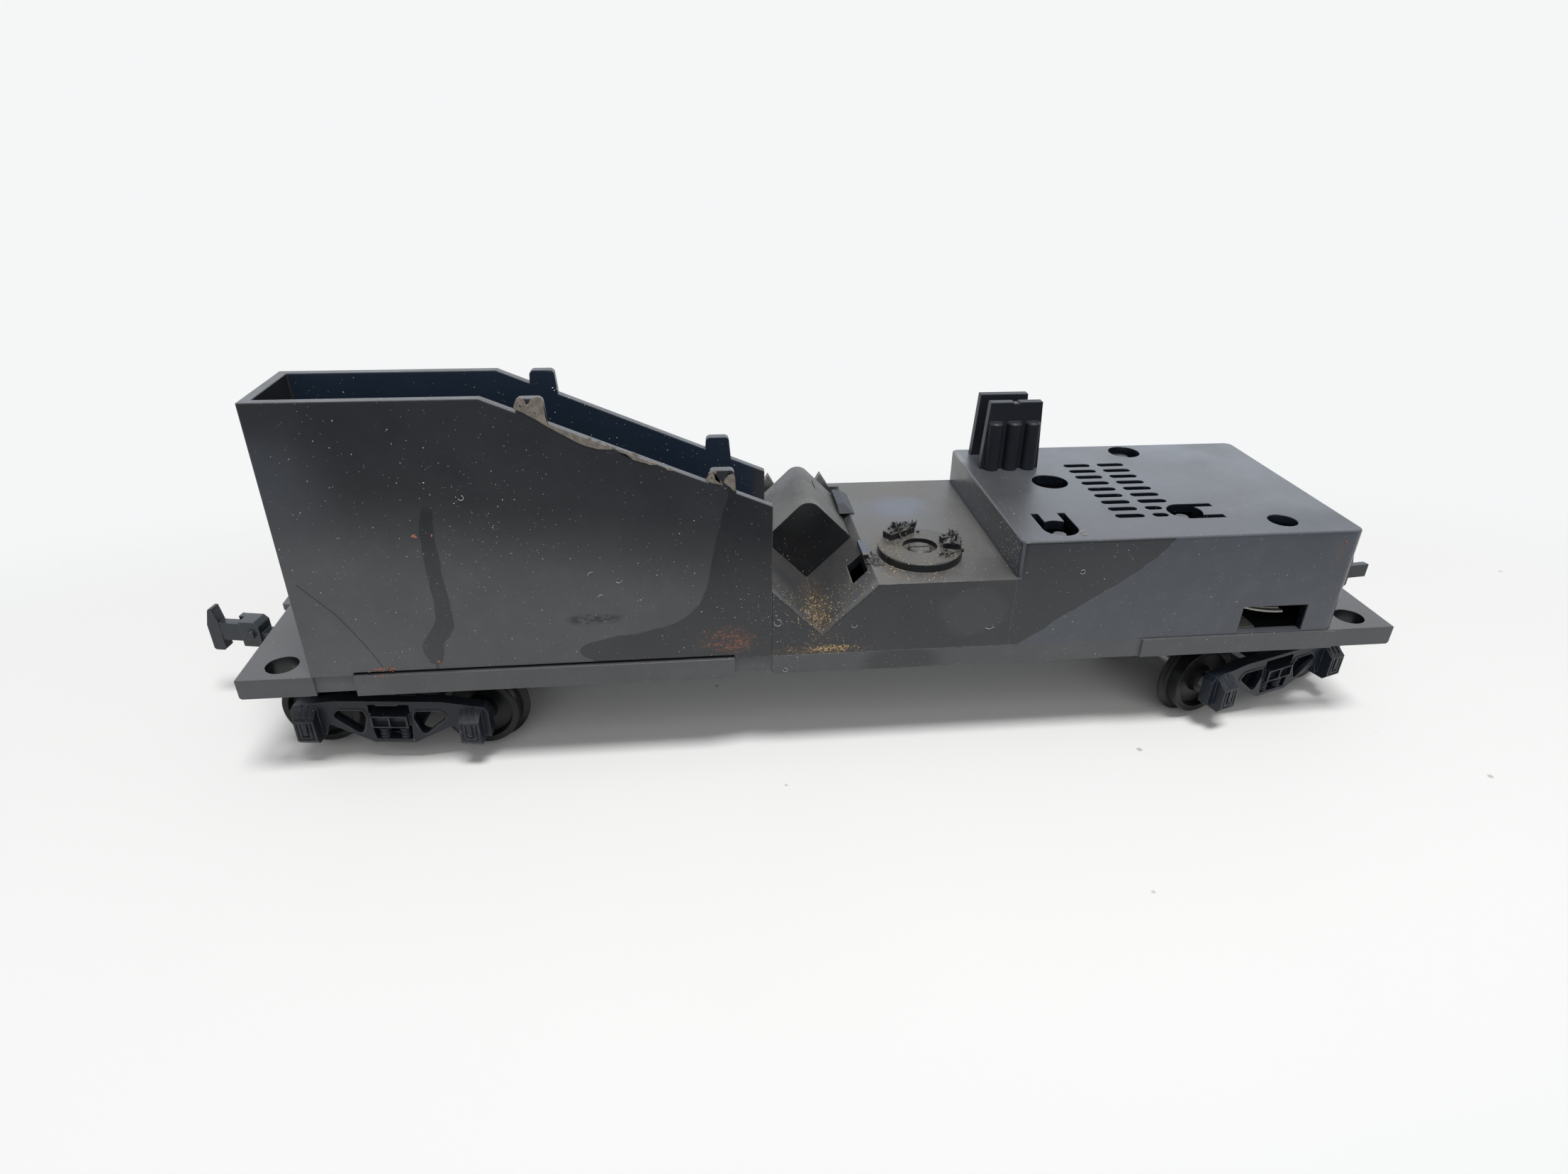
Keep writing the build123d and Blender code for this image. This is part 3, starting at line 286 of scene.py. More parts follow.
# ---- Plastic: satin near-black moulding with a dust film, wiped marks, edge wear and specks ----
def plastic(
    name,
    base=0.015,
    tint=(0.90, 1.0, 1.18),
    rough=(0.29, 0.34),
    film=0.06,
    film_tint=(0.95, 0.98, 1.05),
    dust=0.5,
    dust_color=(0.16, 0.155, 0.145),
    specks=0.06,
    edge_radius=0.2,
    edge_light=0.5,
    grain=0.10,
    specular=0.5,
    wipes=None,
    film_and_shade_fade=None,
    shown=None,
    inner=None,
    marks=(),
):
    """A moulding's material.

    base, tint and rough are the bare plastic, film is the dust film's share on walls, and dust is what
    settles on tops. wipes says which wiped marks it has. film_and_shade_fade is the slanting line over which
    the film gets thin, which leaves the wall above it darker, partly as painted shade: the two values of
    z + slope * x between which it fades, and the slope. shown is outside()'s box, and inner the colour where
    that is 0, a painted colour: darker shade in the holes of the roof and the deck, a bluish sheen inside the
    bin. marks are patches of another colour: a place in mm and half sizes, with how soft, strong, streaky and
    rough each is.
    """
    s = Shader(name)
    cloud = s.noise(0.05, 4.0)
    mottle = s.noise(0.45, 5.0, 0.6)
    fine = s.noise(4.5, 3.0)
    color = s.mix(s.rise(cloud, 0.35, 0.65), rgba(base * 0.85, tint), rgba(base * 1.15, tint))
    open_air = outside(s, *shown) if shown else 1.0
    # holes and inner walls take the inner colour: painted shade in the roof and deck, painted sheen in the
    # bin
    if inner:
        color = s.mix(open_air, rgba(1.0, inner), color)
    filmed = s.blend(s.rise(s.noise(0.09, 5.0, 0.6, shift=(11, 4, 7)), 0.3, 0.7), 0.86, 1.0)
    filmed = s.math("MULTIPLY", filmed, s.blend(s.rise(mottle, 0.4, 0.8), 0.92, 1.1))
    filmed = s.math("MULTIPLY", filmed, open_air)
    # the film gets thinner above a slanting line: partly painted shade on the wall's upper part
    if film_and_shade_fade:
        line = s.math("MULTIPLY_ADD", s.axis(s.position, 0), film_and_shade_fade[2], s.axis(s.position, 2))
        filmed = s.math("MULTIPLY", filmed, s.rise(line, film_and_shade_fade[0], film_and_shade_fade[1], 1.0, 0.2))
    roughness = s.blend(s.rise(s.noise(0.16, 5.0, shift=(7, 3, 1)), 0.35, 0.65), *rough)
    clean = None
    if wipes:
        clean = s.math("MAXIMUM", wiped(s), smears(s)) if wipes == "near" else smears(s)
        filmed = s.math("MULTIPLY", filmed, s.math("SUBTRACT", 1.0, s.math("MULTIPLY", clean, 0.8)))
        roughness = s.math("SUBTRACT", roughness, s.math("MULTIPLY", clean, 0.06))
    color = s.mix(s.math("MULTIPLY", filmed, film), color, rgba(1.0, film_tint))

    # rounded edges, a little lighter from wear and from a painted highlight along them
    rounded = s.add("ShaderNodeBevel", {"Radius": edge_radius * MM}, samples=BEVEL_SAMPLES).outputs[0]
    flat = s.add("ShaderNodeNewGeometry").outputs["Normal"]
    edge = s.math("SUBTRACT", 1.0, s.vector("DOT_PRODUCT", rounded, flat))
    wear_and_highlight = s.math("MULTIPLY", s.rise(edge, 0.02, 0.22), s.rise(s.noise(0.8, 4.0), 0.3, 0.62))
    color = s.mix(s.math("MULTIPLY", wear_and_highlight, edge_light), color, rgba(0.14, (1.0, 1.0, 1.04)))

    # dust lies on what faces up, in clouds and in grains
    up = s.rise(s.axis(s.normal, 2), 0.35, 0.9)
    patchy = s.blend(s.rise(s.noise(0.12, 6.0, 0.65, shift=(3, 9, 2)), 0.32, 0.72), 0.25, 0.85)
    settled = s.math("MULTIPLY", s.math("MULTIPLY", up, patchy), s.math("MULTIPLY", open_air, dust))
    grains = s.math("MULTIPLY", s.rise(s.noise(7.0, 2.0, 0.7), 0.58, 0.72), s.blend(up, 0.2, 0.8))
    grains = s.math("MULTIPLY", grains, open_air)
    color = s.mix(settled, color, rgba(1.0, dust_color))
    color = s.mix(s.math("MULTIPLY", grains, 0.3 * dust), color, rgba(0.3, (1.0, 0.98, 0.95)))
    roughness = s.blend(settled, roughness, 0.75)

    for mark in marks:
        mask = s.blob(*mark["at"], **mark.get("shape", {}))
        if "streaks" in mark:
            streaks = s.noise(mark["streaks"], 5.0, 0.7, stretch=mark.get("stretch", (1, 1, 1)))
            mask = s.math("MULTIPLY", mask, s.rise(streaks, *mark.get("range", (0.5, 0.62))))
        share = s.math("MULTIPLY", mask, mark.get("strength", 0.6))
        color = s.mix(share, color, mark["color"] + (1.0,))
        roughness = s.blend(share, roughness, mark.get("rough", 0.6))

    white = s.specks(1.3, 0.10, specks, shift=(2.0, 5.0, 1.0))
    small = s.specks(3.4, 0.14, specks * 1.6)
    color = s.mix(s.math("MAXIMUM", white, small), color, rgba(0.5, (1.0, 0.99, 0.96)))

    bump = s.add(
        "ShaderNodeBump",
        {
            "Strength": grain,
            "Distance": BUMP_DEPTH,
            "Height": s.math("ADD", fine, s.noise(1.2, 4.0)),
            "Normal": rounded,
        },
    )
    return s.finish(color, roughness, bump.outputs[0], **{"Specular IOR Level": specular})


def metal(name, color, rough, tarnish=(0.3, 0.27, 0.22)):
    s = Shader(name)
    stained = s.rise(s.noise(0.7, 5.0, 0.65), 0.45, 0.75)
    shade = s.mix(s.math("MULTIPLY", stained, 0.6), rgba(1.0, color), rgba(1.0, tarnish))
    roughness = s.blend(s.noise(2.5, 4.0), rough, rough + 0.25)
    bump = s.add("ShaderNodeBump", {"Strength": 0.2, "Distance": BUMP_DEPTH, "Height": s.noise(6.0, 4.0)})
    return s.finish(shade, roughness, bump.outputs[0], Metallic=1.0)


def debris(name, light, dark, rough=0.7):
    """Loose or stuck dirt: two shades that change from grain to grain."""
    s = Shader(name)
    shade = s.mix(s.rise(s.noise(2.2, 4.0, 0.7), 0.38, 0.62), rgba(1.0, dark), rgba(1.0, light))
    bump = s.add("ShaderNodeBump", {"Strength": 0.4, "Distance": BUMP_DEPTH, "Height": s.noise(9.0, 4.0)})
    return s.finish(shade, rough, bump.outputs[0])


def wheel_finish():
    """Wheels: dark plastic, darker than the other mouldings as painted shade for their place under the car, a
    little grimy and brown on the tread.
    """
    s = Shader("wheel_black")
    bluish = (0.8, 1.0, 1.25)
    # the base is painted darker than the other plastics: shade under the car
    base = s.mix(s.rise(s.noise(0.5, 3.0), 0.3, 0.7), rgba(0.004, bluish), rgba(0.006, bluish))
    grime = s.rise(s.noise(0.35, 4.0, 0.6), 0.35, 0.7)
    rounded = s.add("ShaderNodeBevel", {"Radius": 0.15 * MM}, samples=BEVEL_SAMPLES).outputs[0]
    color = s.mix(s.math("MULTIPLY", grime, 0.4), base, rgba(1.0, (0.024, 0.021, 0.019)))
    fine = {"Strength": 0.08, "Distance": BUMP_DEPTH, "Height": s.noise(3.0, 3.0), "Normal": rounded}
    bump = s.add("ShaderNodeBump", fine)
    return s.finish(color, s.blend(grime, 0.3, 0.45), bump.outputs[0], **{"Specular IOR Level": 0.25})


def dress(names, material):
    """Gives CAD nodes a material."""
    for name in names:
        piece = nodes[name]
        if not piece.data.materials:
            piece.data.materials.append(material)
        for index in range(len(piece.material_slots)):
            piece.material_slots[index].material = material


RUST = (0.27, 0.10, 0.055)
GOLD = (0.30, 0.17, 0.06)
bin_marks = [
    {"at": (on_bin(48.9, 2.6), (3.9, 3.0, 2.1)), "shape": {"soft": 0.5}, "color": RUST, "strength": 0.5,
     "streaks": 1.6, "stretch": (0.7, 1, 1.6), "range": (0.52, 0.6), "rough": 0.8},
    {"at": (on_bin(48.9, 2.6), (4.2, 3.0, 2.3)), "shape": {"soft": 0.7}, "color": RUST, "strength": 0.07},
    {"at": (on_bin(33.0, 6.3), (3.8, 2.0, 0.9)), "shape": {"soft": 0.6, "warp": 0.5},
     "color": (0.006, 0.006, 0.007), "strength": 0.7, "streaks": 1.2, "stretch": (1, 1, 2.2),
     "range": (0.42, 0.55)},
    # the next two lighter bluish patches at the bin wall's left end are painted reflection: high up wholly,
    # low down partly a thicker film
    {"at": (on_bin(0.0, 24.5), (9.0, 4.0, 9.0)), "shape": {"soft": 0.9, "warp": 0.15},
     "color": (0.075, 0.083, 0.1), "strength": 0.45, "rough": 0.35},
    {"at": (on_bin(4.5, 1.0), (14.0, 4.0, 9.0)), "shape": {"soft": 0.9, "warp": 0.15},
     "color": (0.09, 0.095, 0.105), "strength": 0.35, "rough": 0.4},
]
corner_mark = {
    "at": (on_house(41.2, 11.5), (0.9, 1.2, 2.4)), "shape": {"soft": 0.8}, "color": (0.2, 0.1, 0.06),
    "strength": 0.12
}
shell_marks = [
    {"at": ((TROUGH_X, NEAR + 6.0, PLATFORM - 6.5), (2.6, 12.0, 3.4)), "shape": {"soft": 0.8}, "color": GOLD,
     "strength": 0.4, "streaks": 2.5, "range": (0.45, 0.62), "rough": 0.9},
    {"at": ((TROUGH_X, NEAR, BASE + 0.6), (7.5, 1.5, 0.9)), "shape": {"soft": 0.7}, "color": GOLD,
     "strength": 0.45, "streaks": 3.0, "range": (0.45, 0.6), "rough": 0.9},
    {"at": ((DISC_X + 0.3, DISC_Y + 15.0, PLATFORM), (5.5, 5.0, 2.0)), "shape": {"soft": 0.7},
     "color": (0.11, 0.13, 0.18), "strength": 0.6, "rough": 0.4},
    {"at": ((DISC_X, DISC_Y, PLATFORM), (8.5, 8.5, 2.0)), "shape": {"soft": 0.5},
     "color": (0.14, 0.125, 0.10), "strength": 0.45, "streaks": 1.1, "range": (0.4, 0.65), "rough": 0.85},
    *(
        {"at": ((tip_x, -NEAR - 0.6, PLATFORM + 1.3), (1.8, 1.6, 1.8)), "shape": {"soft": 0.6},
         "color": (0.20, 0.205, 0.20), "strength": 0.75}
        for tip_x in (TROUGH_X - 3.8, TROUGH_X + 3.8)
    ),
    {"at": ((house_low[0] - 1.5, NEAR + 1.5, PLATFORM), (6.5, 6.5, 1.5)), "shape": {"soft": 0.8},
     "color": (0.05, 0.05, 0.052), "strength": 0.55, "rough": 0.6},
    corner_mark,
]
FILM_AND_SHADE_LINE = (20.3, 31.6, 0.15)  # the film on the bin gets thinner above this slanting line, and the darker wall above it is partly painted shade
BIN_INSIDE_SHEEN = (0.014, 0.024, 0.042)  # the bin's inside: a painted bluish sheen, lighter and bluer than the bare plastic
roof_marks = [
    corner_mark,
    # a darker patch along the roof's left edge: a painted reflection of the dark guide posts
    {"at": (on_roof(0.0, 14.0), (7.5, 18.0, 2.5)), "shape": {"soft": 0.9, "warp": 0.1},
     "color": (0.045, 0.045, 0.045), "strength": 0.6, "rough": 0.5},
    {"at": ((house_low[0], 12.5, ROOF - 1.2), (1.5, 4.5, 2.6)), "shape": {"soft": 0.8},
     "color": (0.33, 0.34, 0.335), "strength": 0.8, "rough": 0.5},
    {"at": (on_roof(38.0, 3.0), (12.0, 7.0, 1.5)), "shape": {"soft": 0.9}, "color": (0.035, 0.04, 0.055),
     "strength": 0.3},
]
sill_marks = [
    {"at": ((DISC_X - 3.2, NEAR, BASE - 2.0), (6.5, 1.2, 4.0)), "shape": {"soft": 0.5, "warp": 0.2},
     "color": (0.02, 0.02, 0.022), "strength": 0.7, "rough": 0.3},
]
clip_marks = [  # the far clip is darker than the near one
    {"at": ((TROUGH_X + 6.4, 4.0, PLATFORM), (3.0, 9.0, 2.0)), "shape": {"soft": 0.1},
     "color": (0.018, 0.021, 0.026), "strength": 0.8},
]
body_black = plastic(
    "body_black", wipes="near", shown=(shell_low, shell_high, (1.3, 1.3)), dust=0.75,
    dust_color=(0.175, 0.165, 0.148), edge_radius=0.3, edge_light=0.8, marks=shell_marks
)
bin_black = plastic(
    "bin_black", wipes="near", film_and_shade_fade=FILM_AND_SHADE_LINE, shown=(bin_low, bin_high), inner=BIN_INSIDE_SHEEN, marks=bin_marks,
    specks=0.08
)
# the roof: its bluish film colour is partly a painted sheen, and its inner colour is painted shade in its
# holes
roof_black = plastic(
    "roof_black", wipes="near", shown=(house_low, house_high), inner=(0.006, 0.009, 0.014), marks=roof_marks,
    dust=0.3, rough=(0.23, 0.27), film_tint=(0.86, 0.97, 1.2), edge_light=0.25
)
# the underframe's inner colour is painted shade in the deck's holes
under_black = plastic(
    "under_black", wipes="far", shown=(deck_low, deck_high, (0.2, 0.7), house_high[0]),
    inner=(0.006, 0.007, 0.009), marks=sill_marks
)
block_black = plastic(
    "block_black", base=0.007, film=0.004, rough=(0.3, 0.5), dust=0.95, dust_color=(0.2, 0.195, 0.18),
    edge_light=0.8
)
# the clips' tops: their bluish dust colour is partly a painted sheen
lug_black = plastic(
    "lug_black", film=0.01, dust=1.0, dust_color=(0.14, 0.165, 0.21), rough=(0.25, 0.3), specks=0.15,
    marks=clip_marks
)
disc_dusty = plastic("disc_dusty", base=0.008, film=0.004, dust=0.9, dust_color=(0.17, 0.16, 0.14))
guide_black = plastic(
    "guide_black", base=0.012, tint=(0.8, 1.0, 1.5), film=0.002, edge_light=0.06, rough=(0.44, 0.5),
    dust=0.15, specular=0.3, specks=0.0
)
truck_black = plastic(
    "truck_black", base=0.009, tint=(0.6, 0.97, 1.65), film=0.0, dust=0.18, edge_light=1.0, edge_radius=0.14,
    rough=(0.36, 0.42), specular=0.35, dust_color=(0.10, 0.11, 0.13), specks=0.03
)
coupler_black = plastic(
    "coupler_black", base=0.013, tint=(0.62, 0.98, 1.42), film=0.002, dust=0.06, specks=0.03
)
# the posts' thin film and dust keep them darker: partly painted shade for their place deep in the roof's
# holes
post_black = plastic("post_black", film=0.03, dust=0.15, rough=(0.2, 0.25), specks=0.0, edge_light=0.4)
wheel_black = wheel_finish()
steel = metal("axle_steel", (0.5, 0.5, 0.5), 0.3)
leaf_metal = metal("leaf_metal", (0.42, 0.41, 0.38), 0.45)

for names, material in (
    (["body_shell"], body_black), (["latch_posts"], post_black), (["trough_lugs"], lug_black),
    (["side_bin"], bin_black), (["housing_cover"], roof_black), (["guide_posts"], guide_black),
    (["underframe", "end_brackets"], under_black), (["trough_block"], block_black),
    (["swivel_disc", "disc_pin"], disc_dusty), (["ballast_weight"], steel), (["leaf_spring"], leaf_metal),
):
    dress(names, material)
for side in ("left", "right"):
    dress(["truck_frame_" + side, "pocket_cover_" + side, "kingpin_" + side], truck_black)
    dress(["coupler_" + side], coupler_black)
    for place in ("inner", "outer"):
        dress(["wheels_" + side + "_" + place], wheel_black)
        dress(["axle_" + side + "_" + place], steel)


# ---- Dirt and damage: small meshes seated on the solids ----
def solid_tree(names):
    """A ray target made of some CAD nodes."""
    corners, faces = [], []
    for name in names:
        mesh, start = nodes[name].data, len(corners)
        corners += [vertex.co.copy() for vertex in mesh.vertices]
        faces += [[start + index for index in face.vertices] for face in mesh.polygons]
    return BVHTree.FromPolygons(corners, faces)


BODY_OF = {node: body for body, members in frame["record"]["behaviour"]["bodies"].items() for node in members}
targets = {
    body: solid_tree([name for name in nodes if BODY_OF[name] == body])
    for body in ("car_body", "disc", "truck_left", "truck_right")
}
WAYS = {"down": (0, 0, -1), "in": (0, 1, 0), "right": (1, 0, 0), "left": (-1, 0, 0), "out": (0, -1, 0)}


def seat(start, way):
    """The first surface that a ray in mm meets: body, place in mm and normal."""
    best = None
    for body, tree in targets.items():
        place, normal, _, reach = tree.ray_cast(Vector(start) * MM, Vector(WAYS[way]))
        if place is not None and (best is None or reach < best[0]):
            best = (reach, body, place / MM, normal)
    return best[1:] if best else None


class Dirt:
    """Chips of one kind, gathered in one mesh for each body that they lie on."""

    def __init__(self, name, seed):
        self.name, self.draw, self.meshes = name, random.Random(seed), {}

    def chip(self, body, place, normal, size, height, stretch=1.0):
        """An irregular low crumb, sunk a little into the surface."""
        mesh = self.meshes.setdefault(body, bmesh.new())
        draw = self.draw
        spin = Matrix.Rotation(draw.uniform(0, 2 * math.pi), 3, "Z").to_quaternion()
        turn = normal.to_track_quat("Z", "Y") @ spin
        sides = draw.randint(5, 7)
        rings = []
        for share, level in ((1.0, -0.15), (draw.uniform(0.75, 1.0), 0.5), (draw.uniform(0.3, 0.55), 1.0)):
            ring = []
            for index in range(sides):
                angle = 2 * math.pi * index / sides
                reach = size / 2 * share * draw.uniform(0.75, 1.15)
                spot = Vector((reach * stretch * math.cos(angle), reach * math.sin(angle), height * level))
                ring.append(mesh.verts.new((place + turn @ spot) * MM))
            rings.append(ring)
        for low, high in zip(rings, rings[1:]):
            for index in range(sides):
                after = (index + 1) % sides
                mesh.faces.new((low[index], low[after], high[after], high[index]))
        mesh.faces.new(rings[-1])
        mesh.faces.new(rings[0][::-1])

    def scatter(self, count, spot, way, sizes=(0.08, 0.2), flat=0.5, stretch=(1.0, 2.0)):
        """Drops crumbs where spot(draw) says, onto what a ray from there meets."""
        for _ in range(count):
            found = seat(spot(self.draw), way)
            size = self.draw.uniform(*sizes) * self.draw.uniform(0.6, 1.0)
            if found:
                self.chip(*found, size, size * flat, self.draw.uniform(*stretch))

    def strand(self, body, points, radius):
        """A thin bent hair or fibre through places in mm."""
        mesh = self.meshes.setdefault(body, bmesh.new())
        sides, rings = 5, []
        for index, point in enumerate(points):
            ahead = Vector(points[min(index + 1, len(points) - 1)]) - Vector(points[max(index - 1, 0)])
            turn = ahead.to_track_quat("Z", "Y")
            ring = []
            for side in range(sides):
                angle = 2 * math.pi * side / sides
                around = turn @ Vector((radius * math.cos(angle), radius * math.sin(angle), 0))
                ring.append(mesh.verts.new((Vector(point) + around) * MM))
            rings.append(ring)
        for low, high in zip(rings, rings[1:]):
            for side in range(sides):
                after = (side + 1) % sides
                mesh.faces.new((low[side], low[after], high[after], high[side]))
        mesh.faces.new(rings[0][::-1])
        mesh.faces.new(rings[-1])

    def patch(self, outline, proud=0.07):
        """A skin of dried residue on the bin's near wall, outlined in mm from its lower left corner."""
        mesh = self.meshes.setdefault("car_body", bmesh.new())
        center = sum((Vector(p) for p in outline), Vector((0, 0))) / len(outline)
        rims = []
        for depth, shrink in ((-0.03, 0.0), (proud * 0.7, 0.02), (proud, 0.09)):
            rim = []
            for x, z in outline:
                inward = center - Vector((x, z))
                x, z = Vector((x, z)) + inward.normalized() * min(shrink, inward.length / 2)
                rim.append(mesh.verts.new(Vector((bin_low[0] + x, NEAR - depth, BASE + z)) * MM))
            rims.append(rim)
        for low, high in zip(rims, rims[1:]):
            for index in range(len(outline)):
                after = (index + 1) % len(outline)
                mesh.faces.new((low[index], low[after], high[after], high[index]))
        mesh.faces.new(rims[-1])
        mesh.faces.new(rims[0][::-1])

    def build(self, material):
        """Makes a piece of each body's chips, which rides on that body."""
        for body, mesh in self.meshes.items():
            bmesh.ops.triangulate(mesh, faces=[face for face in mesh.faces if len(face.verts) > 4])
            bmesh.ops.recalc_face_normals(mesh, faces=mesh.faces)
            data = bpy.data.meshes.new(self.name + "_" + body)
            mesh.to_mesh(data)
            mesh.free()
            data.materials.append(material)
            piece = bpy.data.objects.new(data.name, data)
            bpy.context.scene.collection.objects.link(piece)
            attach(piece, body)


def within(x, y, z):
    """A spot in a box in mm, each side (low, high) or one value."""
    sides = [side if isinstance(side, tuple) else (side, side) for side in (x, y, z)]
    return lambda draw: tuple(draw.uniform(*side) for side in sides)


def about(x, y, z):
    """A spot near a place in mm, each side (middle, spread) or one value."""
    sides = [side if isinstance(side, tuple) else (side, 0.0) for side in (x, y, z)]
    return lambda draw: tuple(middle + draw.gauss(0, 1) * spread for middle, spread in sides)


# Where the rays start, in mm: above, in front of and behind the whole object, and inside the bin.
# Each kind of dirt draws from its own seed, so the order of its calls decides where its chips lie.
ABOVE, BEFORE, BEHIND = 70.0, -40.0, 45.0
IN_BIN = (-10.0, -8.0)
BIN_X, HOUSE_X = (bin_low[0] + 1.5, bin_high[0] - 0.5), (house_low[0] + 0.5, house_high[0] - 0.5)
LEFT_OF_HOUSE = house_low[0] - 4.0
FAR = 16.0
DECK_LEFT, DECK_RIGHT = (-72.0, -64.5), (64.5, 72.0)

gold = Dirt("gold_dust", 11)
gold.scatter(180, about((TROUGH_X, 1.1), (NEAR + 4.5, 3.0), ABOVE), "down")
gold.scatter(120, about((TROUGH_X - 2.0, 2.6), (NEAR + 2.2, 1.8), ABOVE), "down", (0.07, 0.16))
gold.scatter(60, about((TROUGH_X + 3.2, 1.6), (NEAR + 3.0, 2.4), ABOVE), "down", (0.07, 0.15))
gold.scatter(120, about((TROUGH_X + 1.0, 1.5), BEFORE, (BASE + 0.75, 0.22)), "in", (0.08, 0.2))
gold.scatter(60, about((TROUGH_X - 0.5, 3.4), BEFORE, (BASE + 1.1, 0.9)), "in", (0.06, 0.14))
gold.scatter(110, about((DISC_X - 2.5, 4.5), (NEAR + 2.4, 1.5), ABOVE), "down", (0.06, 0.17))
gold.scatter(90, about((DISC_X - 5.0, 1.2), (DISC_Y - 1.5, 3.0), ABOVE), "down", (0.07, 0.18))
gold.scatter(150, about((DISC_X - 0.5, 5.0), (DISC_Y - 3.0, 3.2), ABOVE), "down", (0.05, 0.12))
gold.scatter(
    90, within((TROUGH_X + 1.0, TROUGH_X + 6.4), (NEAR + 0.2, NEAR + 7.0), ABOVE), "down", (0.05, 0.13)
)
gold.scatter(45, about((DISC_X, 3.0), (DISC_Y, 3.0), ABOVE), "down", (0.06, 0.14))
gold.scatter(9, about((TROUGH_X - 3.0, 0.6), BEFORE, (PLATFORM - 3.5, 0.9)), "in", (0.08, 0.22))
gold.scatter(
    30, within((TROUGH_X - 5.0, TROUGH_X + 4.0), (bar_low[1], bar_high[1]), ABOVE), "down", (0.06, 0.16)
)
gold.scatter(
    30, within(LEFT_OF_HOUSE, (NEAR + 1, NEAR + 22), (PLATFORM + 0.5, ROOF - 0.4)), "right", (0.06, 0.14)
)
gold.scatter(14, about((house_low[0] + 7.0, 1.2), (NEAR + 2.0, 0.7), ABOVE), "down", (0.08, 0.22))

pale = Dirt("pale_flecks", 12)
pale.scatter(120, within(BIN_X, BEFORE, (BASE + 0.5, BASE + 30.5)), "in", (0.05, 0.14))
pale.scatter(85, about((bin_low[0] + 23.0, 4.0), BEFORE, (BASE + 19.0, 5.0)), "in", (0.04, 0.12))
pale.scatter(60, about((bin_high[0] - 1.5, 2.2), BEFORE, (BASE + 6.0, 4.0)), "in", (0.04, 0.11))
pale.scatter(55, about((TROUGH_X - 3.6, 2.0), BEFORE, (BASE + 3.6, 2.6)), "in", (0.04, 0.09))
pale.scatter(40, within((bin_high[0], house_low[0]), BEFORE, (BASE - 4.0, BASE + 8.5)), "in", (0.04, 0.12))
pale.scatter(55, within(HOUSE_X, BEFORE, (BASE - 3.0, ROOF - 0.5)), "in", (0.04, 0.12))
pale.scatter(90, within(BIN_X, (NEAR + 0.2, NEAR + 0.9), ABOVE), "down", (0.04, 0.12))
pale.scatter(200, within(BIN_X, IN_BIN, (BASE + 14.0, BASE + 31.0)), "in", (0.06, 0.19))
pale.scatter(150, within((bin_high[0] + 11.5, house_low[0]), (NEAR, FAR), ABOVE), "down", (0.04, 0.11))
pale.scatter(60, about((DISC_X, 3.2), (DISC_Y, 3.2), ABOVE), "down", (0.04, 0.12))
pale.scatter(
    70, within((house_low[0], house_low[0] + 9.0), (NEAR, NEAR + 11.0), ABOVE), "down", (0.04, 0.12)
)
pale.scatter(45, within(HOUSE_X, (NEAR, NEAR + 1.2), ABOVE), "down", (0.04, 0.11))
pale.scatter(
    90, within(LEFT_OF_HOUSE, (NEAR + 0.5, NEAR + 9.0), (PLATFORM + 0.2, ROOF - 0.2)), "right", (0.05, 0.14)
)
pale.scatter(
    35, within(LEFT_OF_HOUSE, (NEAR + 1, NEAR + 25), (PLATFORM + 0.3, ROOF - 0.3)), "right", (0.04, 0.12)
)
for deck_end in (DECK_LEFT, DECK_RIGHT):
    pale.scatter(40, within(deck_end, (NEAR, FAR), ABOVE), "down", (0.04, 0.12))
pale.scatter(40, within((bar_low[0], bar_high[0]), (bar_low[1], bar_high[1]), ABOVE), "down", (0.04, 0.10))
for start, stop in ((0, 14.0), (16.0, 42.0)):
    strip = (bin_low[0] + start, bin_low[0] + stop)
    pale.scatter(30, within(strip, BEHIND, (BASE, BASE + 27.0)), "out", (0.04, 0.12))

rust = Dirt("rust_crumbs", 13)
for x, z, size in (
    (14.75, 17.9, 0.45), (14.9, 17.6, 0.35), (16.5, 17.7, 0.3), (14.7, 1.3, 0.4), (60.1 + 65.2, 12.7, 0.3)
):
    rust.scatter(2, about((bin_low[0] + x, 0.12), BEFORE, (BASE + z, 0.08)), "in", (size * 0.7, size), 0.4)
rust.scatter(75, about((bin_low[0] + 8.6, 0.8), BEFORE, (BASE + 0.5, 0.25)), "in", (0.08, 0.28))
rust.scatter(110, about((bin_low[0] + 49.0, 1.7), BEFORE, (BASE + 2.6, 0.8)), "in", (0.06, 0.2), 0.25)
rust.scatter(8, within(BIN_X, BEFORE, (BASE, BASE + 8.0)), "in", (0.06, 0.15))

